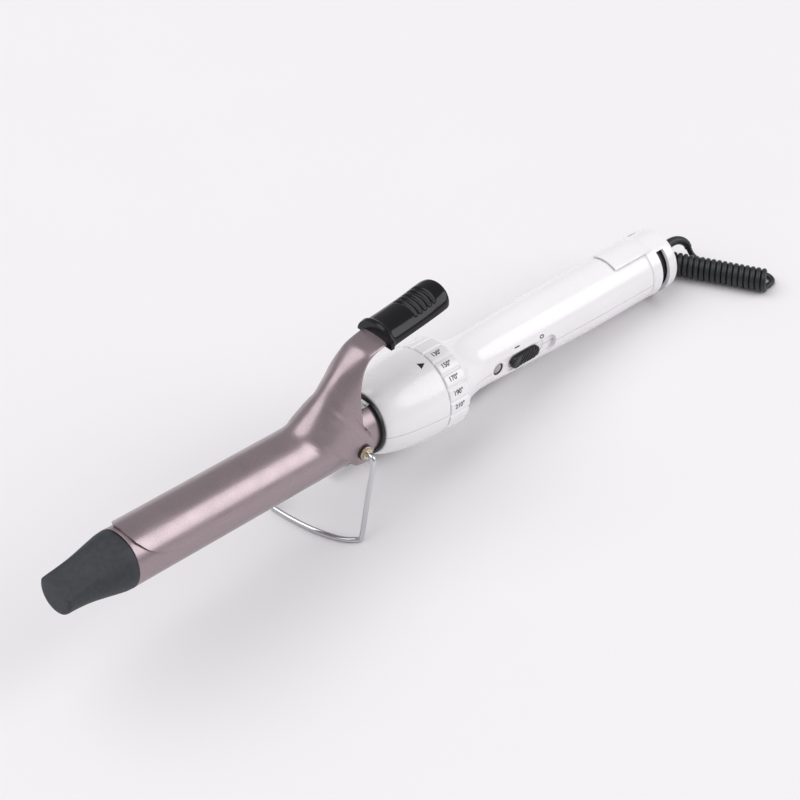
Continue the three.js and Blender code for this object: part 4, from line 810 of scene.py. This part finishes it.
def knob_outline(inset):
    """Points of the round-ended outline moved in by inset, all rings with the same count"""
    h = KNOB_HALF
    straight, arc = (KNOB_X1 - KNOB_X0) - 2 * h, math.pi * h
    total, pts = 2 * (straight + arc), []
    for k in range(KNOB_N):
        d = total * k / KNOB_N
        r = h - inset
        if d < straight:
            pts.append((KNOB_X0 + h + d, -r))
        elif d < straight + arc:
            a = (d - straight) / h
            pts.append((KNOB_X1 - h + r * math.sin(a), -r * math.cos(a)))
        elif d < 2 * straight + arc:
            pts.append((KNOB_X1 - h - (d - straight - arc), r))
        else:
            a = (d - 2 * straight - arc) / h
            pts.append((KNOB_X0 + h - r * math.sin(a), r * math.cos(a)))
    return pts


def knob_height(x, z):
    wave = ((x - 0.6 * z - 213.2) / 2.05) % 1
    ridge = float(ease(0, 0.22, wave) * (1 - ease(0.62, 0.95, wave)))
    ribbed = float(ease(212.6, 213.4, x - 0.6 * z) * (1 - ease(224.2, 225.0, x)))
    dome = 0.25 * math.exp(-((x - 211.3) / 2.2) ** 2)
    return KNOB_H + dome - ribbed * (0.85 - 0.75 * ridge)


knob_rings = [[(x, KNOB_BASE, z) for x, z in knob_outline(0)]]
for inset, share in ((0, 0.55), (0.04, 0.72), (0.14, 0.85), (0.3, 0.93), (0.55, 0.98), (0.8, 1), (1.1, 1), (1.4, 1),
                     (1.7, 1), (2.0, 1), (2.3, 1), (2.6, 1), (2.85, 1), (2.98, 1)):
    knob_rings.append([(x, KNOB_BASE - share * knob_height(x, z), z) for x, z in knob_outline(inset)])
solid("switch_knob_cap", loft(knob_rings), KNOB_BLACK, "black_plastic", ("switch_knob",), sharp=60)

# ------------------------------------------------------------------ pilot lamp lens
lens_prof = [(9.6, 0), (9.6, 2.2), (11.25, 2.3)] + [(11.25 + 0.45 * (1 - (r / 2.3) ** 2), r)
                                                   for r in np.linspace(2.2, 0, 10)]
solid("lamp_lens_dome", facing_side(revolve(lens_prof, 64), LAMP_X), LENS, "lamp_glass", ("lamp_lens",))

# painted shade: a black ring lines the lamp hole so that the hole's far wall reads dark, as shade would make it
painted_shade_ring_prof = fillet([(10.6, 2.5), (11.6, 2.5), (11.6, 2.82), (10.6, 2.82)], 0.1, 2, True)
solid("lamp_hole_painted_shade_ring", facing_side(revolve(painted_shade_ring_prof, 64), LAMP_X), KNOB_BLACK, "black_plastic", body="housing")

# ------------------------------------------------------------------ rear cap with open slot and tongue
CAP_X0, CAP_END, END_R, DRUM_R = 302.55, 319.0, 14.5, 12.1
GAP_X0, GAP_X1, BRIDGE_DEG = 308.6, 313.4, 33.0
cap_rows = [((CAP_X0, 13.9), (CAP_X0, 12.4)), ((302.62, 14.2), (302.6, 12.4)), ((302.8, 14.3), (302.9, 12.4)),
            ((304, 14.34), (304, 12.4)), ((305.6, 14.38), (305.5, 12.4)), ((306.2, 14.4), (305.6, 12.9)),
            ((307.4, 14.45), (307.4, 12.9)), ((GAP_X0, END_R), (GAP_X0, 12.9)), ((310.2, END_R), (310.2, 12.9)),
            ((311.8, END_R), (311.8, 12.9)), ((GAP_X1, END_R), (GAP_X1, 12.9)), ((315, END_R), (315, 12.9)),
            ((316.5, END_R), (316.5, 12.9)), ((318.0, END_R), (316.6, 12.3)), ((318.5, 14.42), (316.6, 10.8)),
            ((318.8, 14.2), (316.6, 10.4)), ((318.96, 13.9), (316.6, 10)), ((CAP_END, 13.5), (316.6, 9.5)),
            ((CAP_END, 9), (316.6, 8)), ((CAP_END, 5.2), (316.6, 5.2)), ((318.9, 4.7), (316.7, 4.7))]
CAP_SEG = 180
turns = 2 * math.pi * (np.arange(CAP_SEG) + 0.5) / CAP_SEG
ring_of = lambda x, r: np.stack([np.full_like(turns, x), -r * np.cos(turns), r * np.sin(turns)], axis=1)
cap_out = np.array([ring_of(*o) for o, _ in cap_rows])
cap_in = np.array([ring_of(*i) for _, i in cap_rows])
keep = np.ones((len(cap_rows) - 1, CAP_SEG), bool)
cell_deg = np.degrees(turns + math.pi / CAP_SEG)
open_cell = np.abs(cell_deg - 90) > BRIDGE_DEG
for i, ((x, r), _) in enumerate(cap_rows[:-1]):
    if GAP_X0 <= x < GAP_X1 and r > 14:
        keep[i] = ~open_cell
TONGUE_DEG = 27.0
tongue = []
for x, lift, t in ((281.6, 0.8, 0.2), (281.72, 0.68, 0.5), (282.1, 0.65, 0.6), (286, 0.61, 0.66), (290, 0.58, 0.7),
                   (296, 0.5, 0.73), (302.5, 0.45, 0.75), (304.5, -0.4, 1.2), (307.5, -1.0, 1.4)):
    edge = [(TONGUE_DEG * k, 1.0) for k in np.linspace(-1, 1, 41)]
    top = [(x, (HANDLE_R + lift + t * (1 - 0.5 * abs(k / TONGUE_DEG) ** 24)), k) for k, _ in edge]
    low = [(x, HANDLE_R + lift, k) for k, _ in reversed(edge)]
    tongue.append([(x, -r * math.sin(k * RAD), r * math.cos(k * RAD)) for x, r, k in top + low])
solid("rear_cap_shell", joined(shell(cap_out, cap_in, keep, wrap=True), loft(tongue)), WHITE, "white_plastic",
      ("rear_cap",), sharp=40, bevel=0.12)
solid("swivel_drum_turned", revolve(fillet([(292, 0), (292, 3.1), (306.15, 3.1), (306.15, DRUM_R), (316.3, DRUM_R),
                                            (316.3, 4.3), (321, 4.3), (322, 3.4), (322, 0)], 0.35, 3), 128),
      DRUM, "drum_plastic", ("swivel_drum",))

# ------------------------------------------------------------------ finishes for the CAD nodes that stay
KEPT = {"heat_spreader_upper": ALLOY, "heat_spreader_lower": ALLOY, "electrode_upper": CONTACT,
        "electrode_lower": CONTACT, "ptc_heater": CERAMIC, "temperature_sensor": CERAMIC, "thermal_fuse": STEEL,
        "thumb_rivet": STEEL, "hinge_saddle": STEEL, "pot_pinion": WHITE, "potentiometer": STEEL,
        "circuit_board": BOARD, "power_switch_chip": KNOB_BLACK, "control_chip": KNOB_BLACK,
        "film_capacitor": AMBER, "slide_switch_body": KNOB_BLACK, "lamp_led": AMBER, "slip_ring_live": CONTACT,
        "slip_ring_neutral": CONTACT, "brush_live": CONTACT, "brush_neutral": CONTACT, "wire_live": RED,
        "wire_neutral": BLUE, "heater_lead_upper": RED, "heater_lead_lower": BLUE, "sensor_lead": CERAMIC,
        "plug_blade_near": CHROME, "plug_blade_far": CHROME, "housing_screw_1": STEEL, "housing_screw_2": STEEL,
        "housing_screw_3": STEEL, "housing_screw_4": STEEL}
for name, mat in KEPT.items():
    node = frame["nodes"][name]
    for held in node.material_slots:
        held.link = "OBJECT"
        held.material = mat

# ------------------------------------------------------------------ floor and light
FLOOR_HALF = 6.0
floor_mesh = bpy.data.meshes.new("floor")
floor_mesh.from_pydata([(-FLOOR_HALF, -FLOOR_HALF, 0), (FLOOR_HALF, -FLOOR_HALF, 0), (FLOOR_HALF, FLOOR_HALF, 0),
                        (-FLOOR_HALF, FLOOR_HALF, 0)], [], [(0, 1, 2, 3)])
floor = bpy.data.objects.new("floor", floor_mesh)
bpy.context.scene.collection.objects.link(floor)
floor.data.materials.append(material("floor_look", (0.86, 0.845, 0.86), 0.75, tint=0.004, blotch=3, grain=400,
                                     bump=0.01))

world = bpy.data.worlds.new("studio")
bpy.context.scene.world = world
world.use_nodes = True
wn = world.node_tree.nodes
back = wn["Background"]
back.inputs["Color"].default_value = (0.99, 0.98, 1.0, 1)
back.inputs["Strength"].default_value = 0.42


def sun(name, direction, strength, spread):
    data = bpy.data.lights.new(name, "SUN")
    data.energy, data.angle = strength, spread * RAD
    obj = new_object(name, data)
    obj.rotation_euler = (-Vector(direction)).to_track_quat("-Z", "Y").to_euler()


sun("key", (0.6, -0.62, 0.6), 1.2, 45)
sun("top", (-0.35, 0.3, 0.9), 1.5, 60)
scene = bpy.context.scene
scene.view_settings.view_transform = "Standard"
scene.view_settings.look = "None"
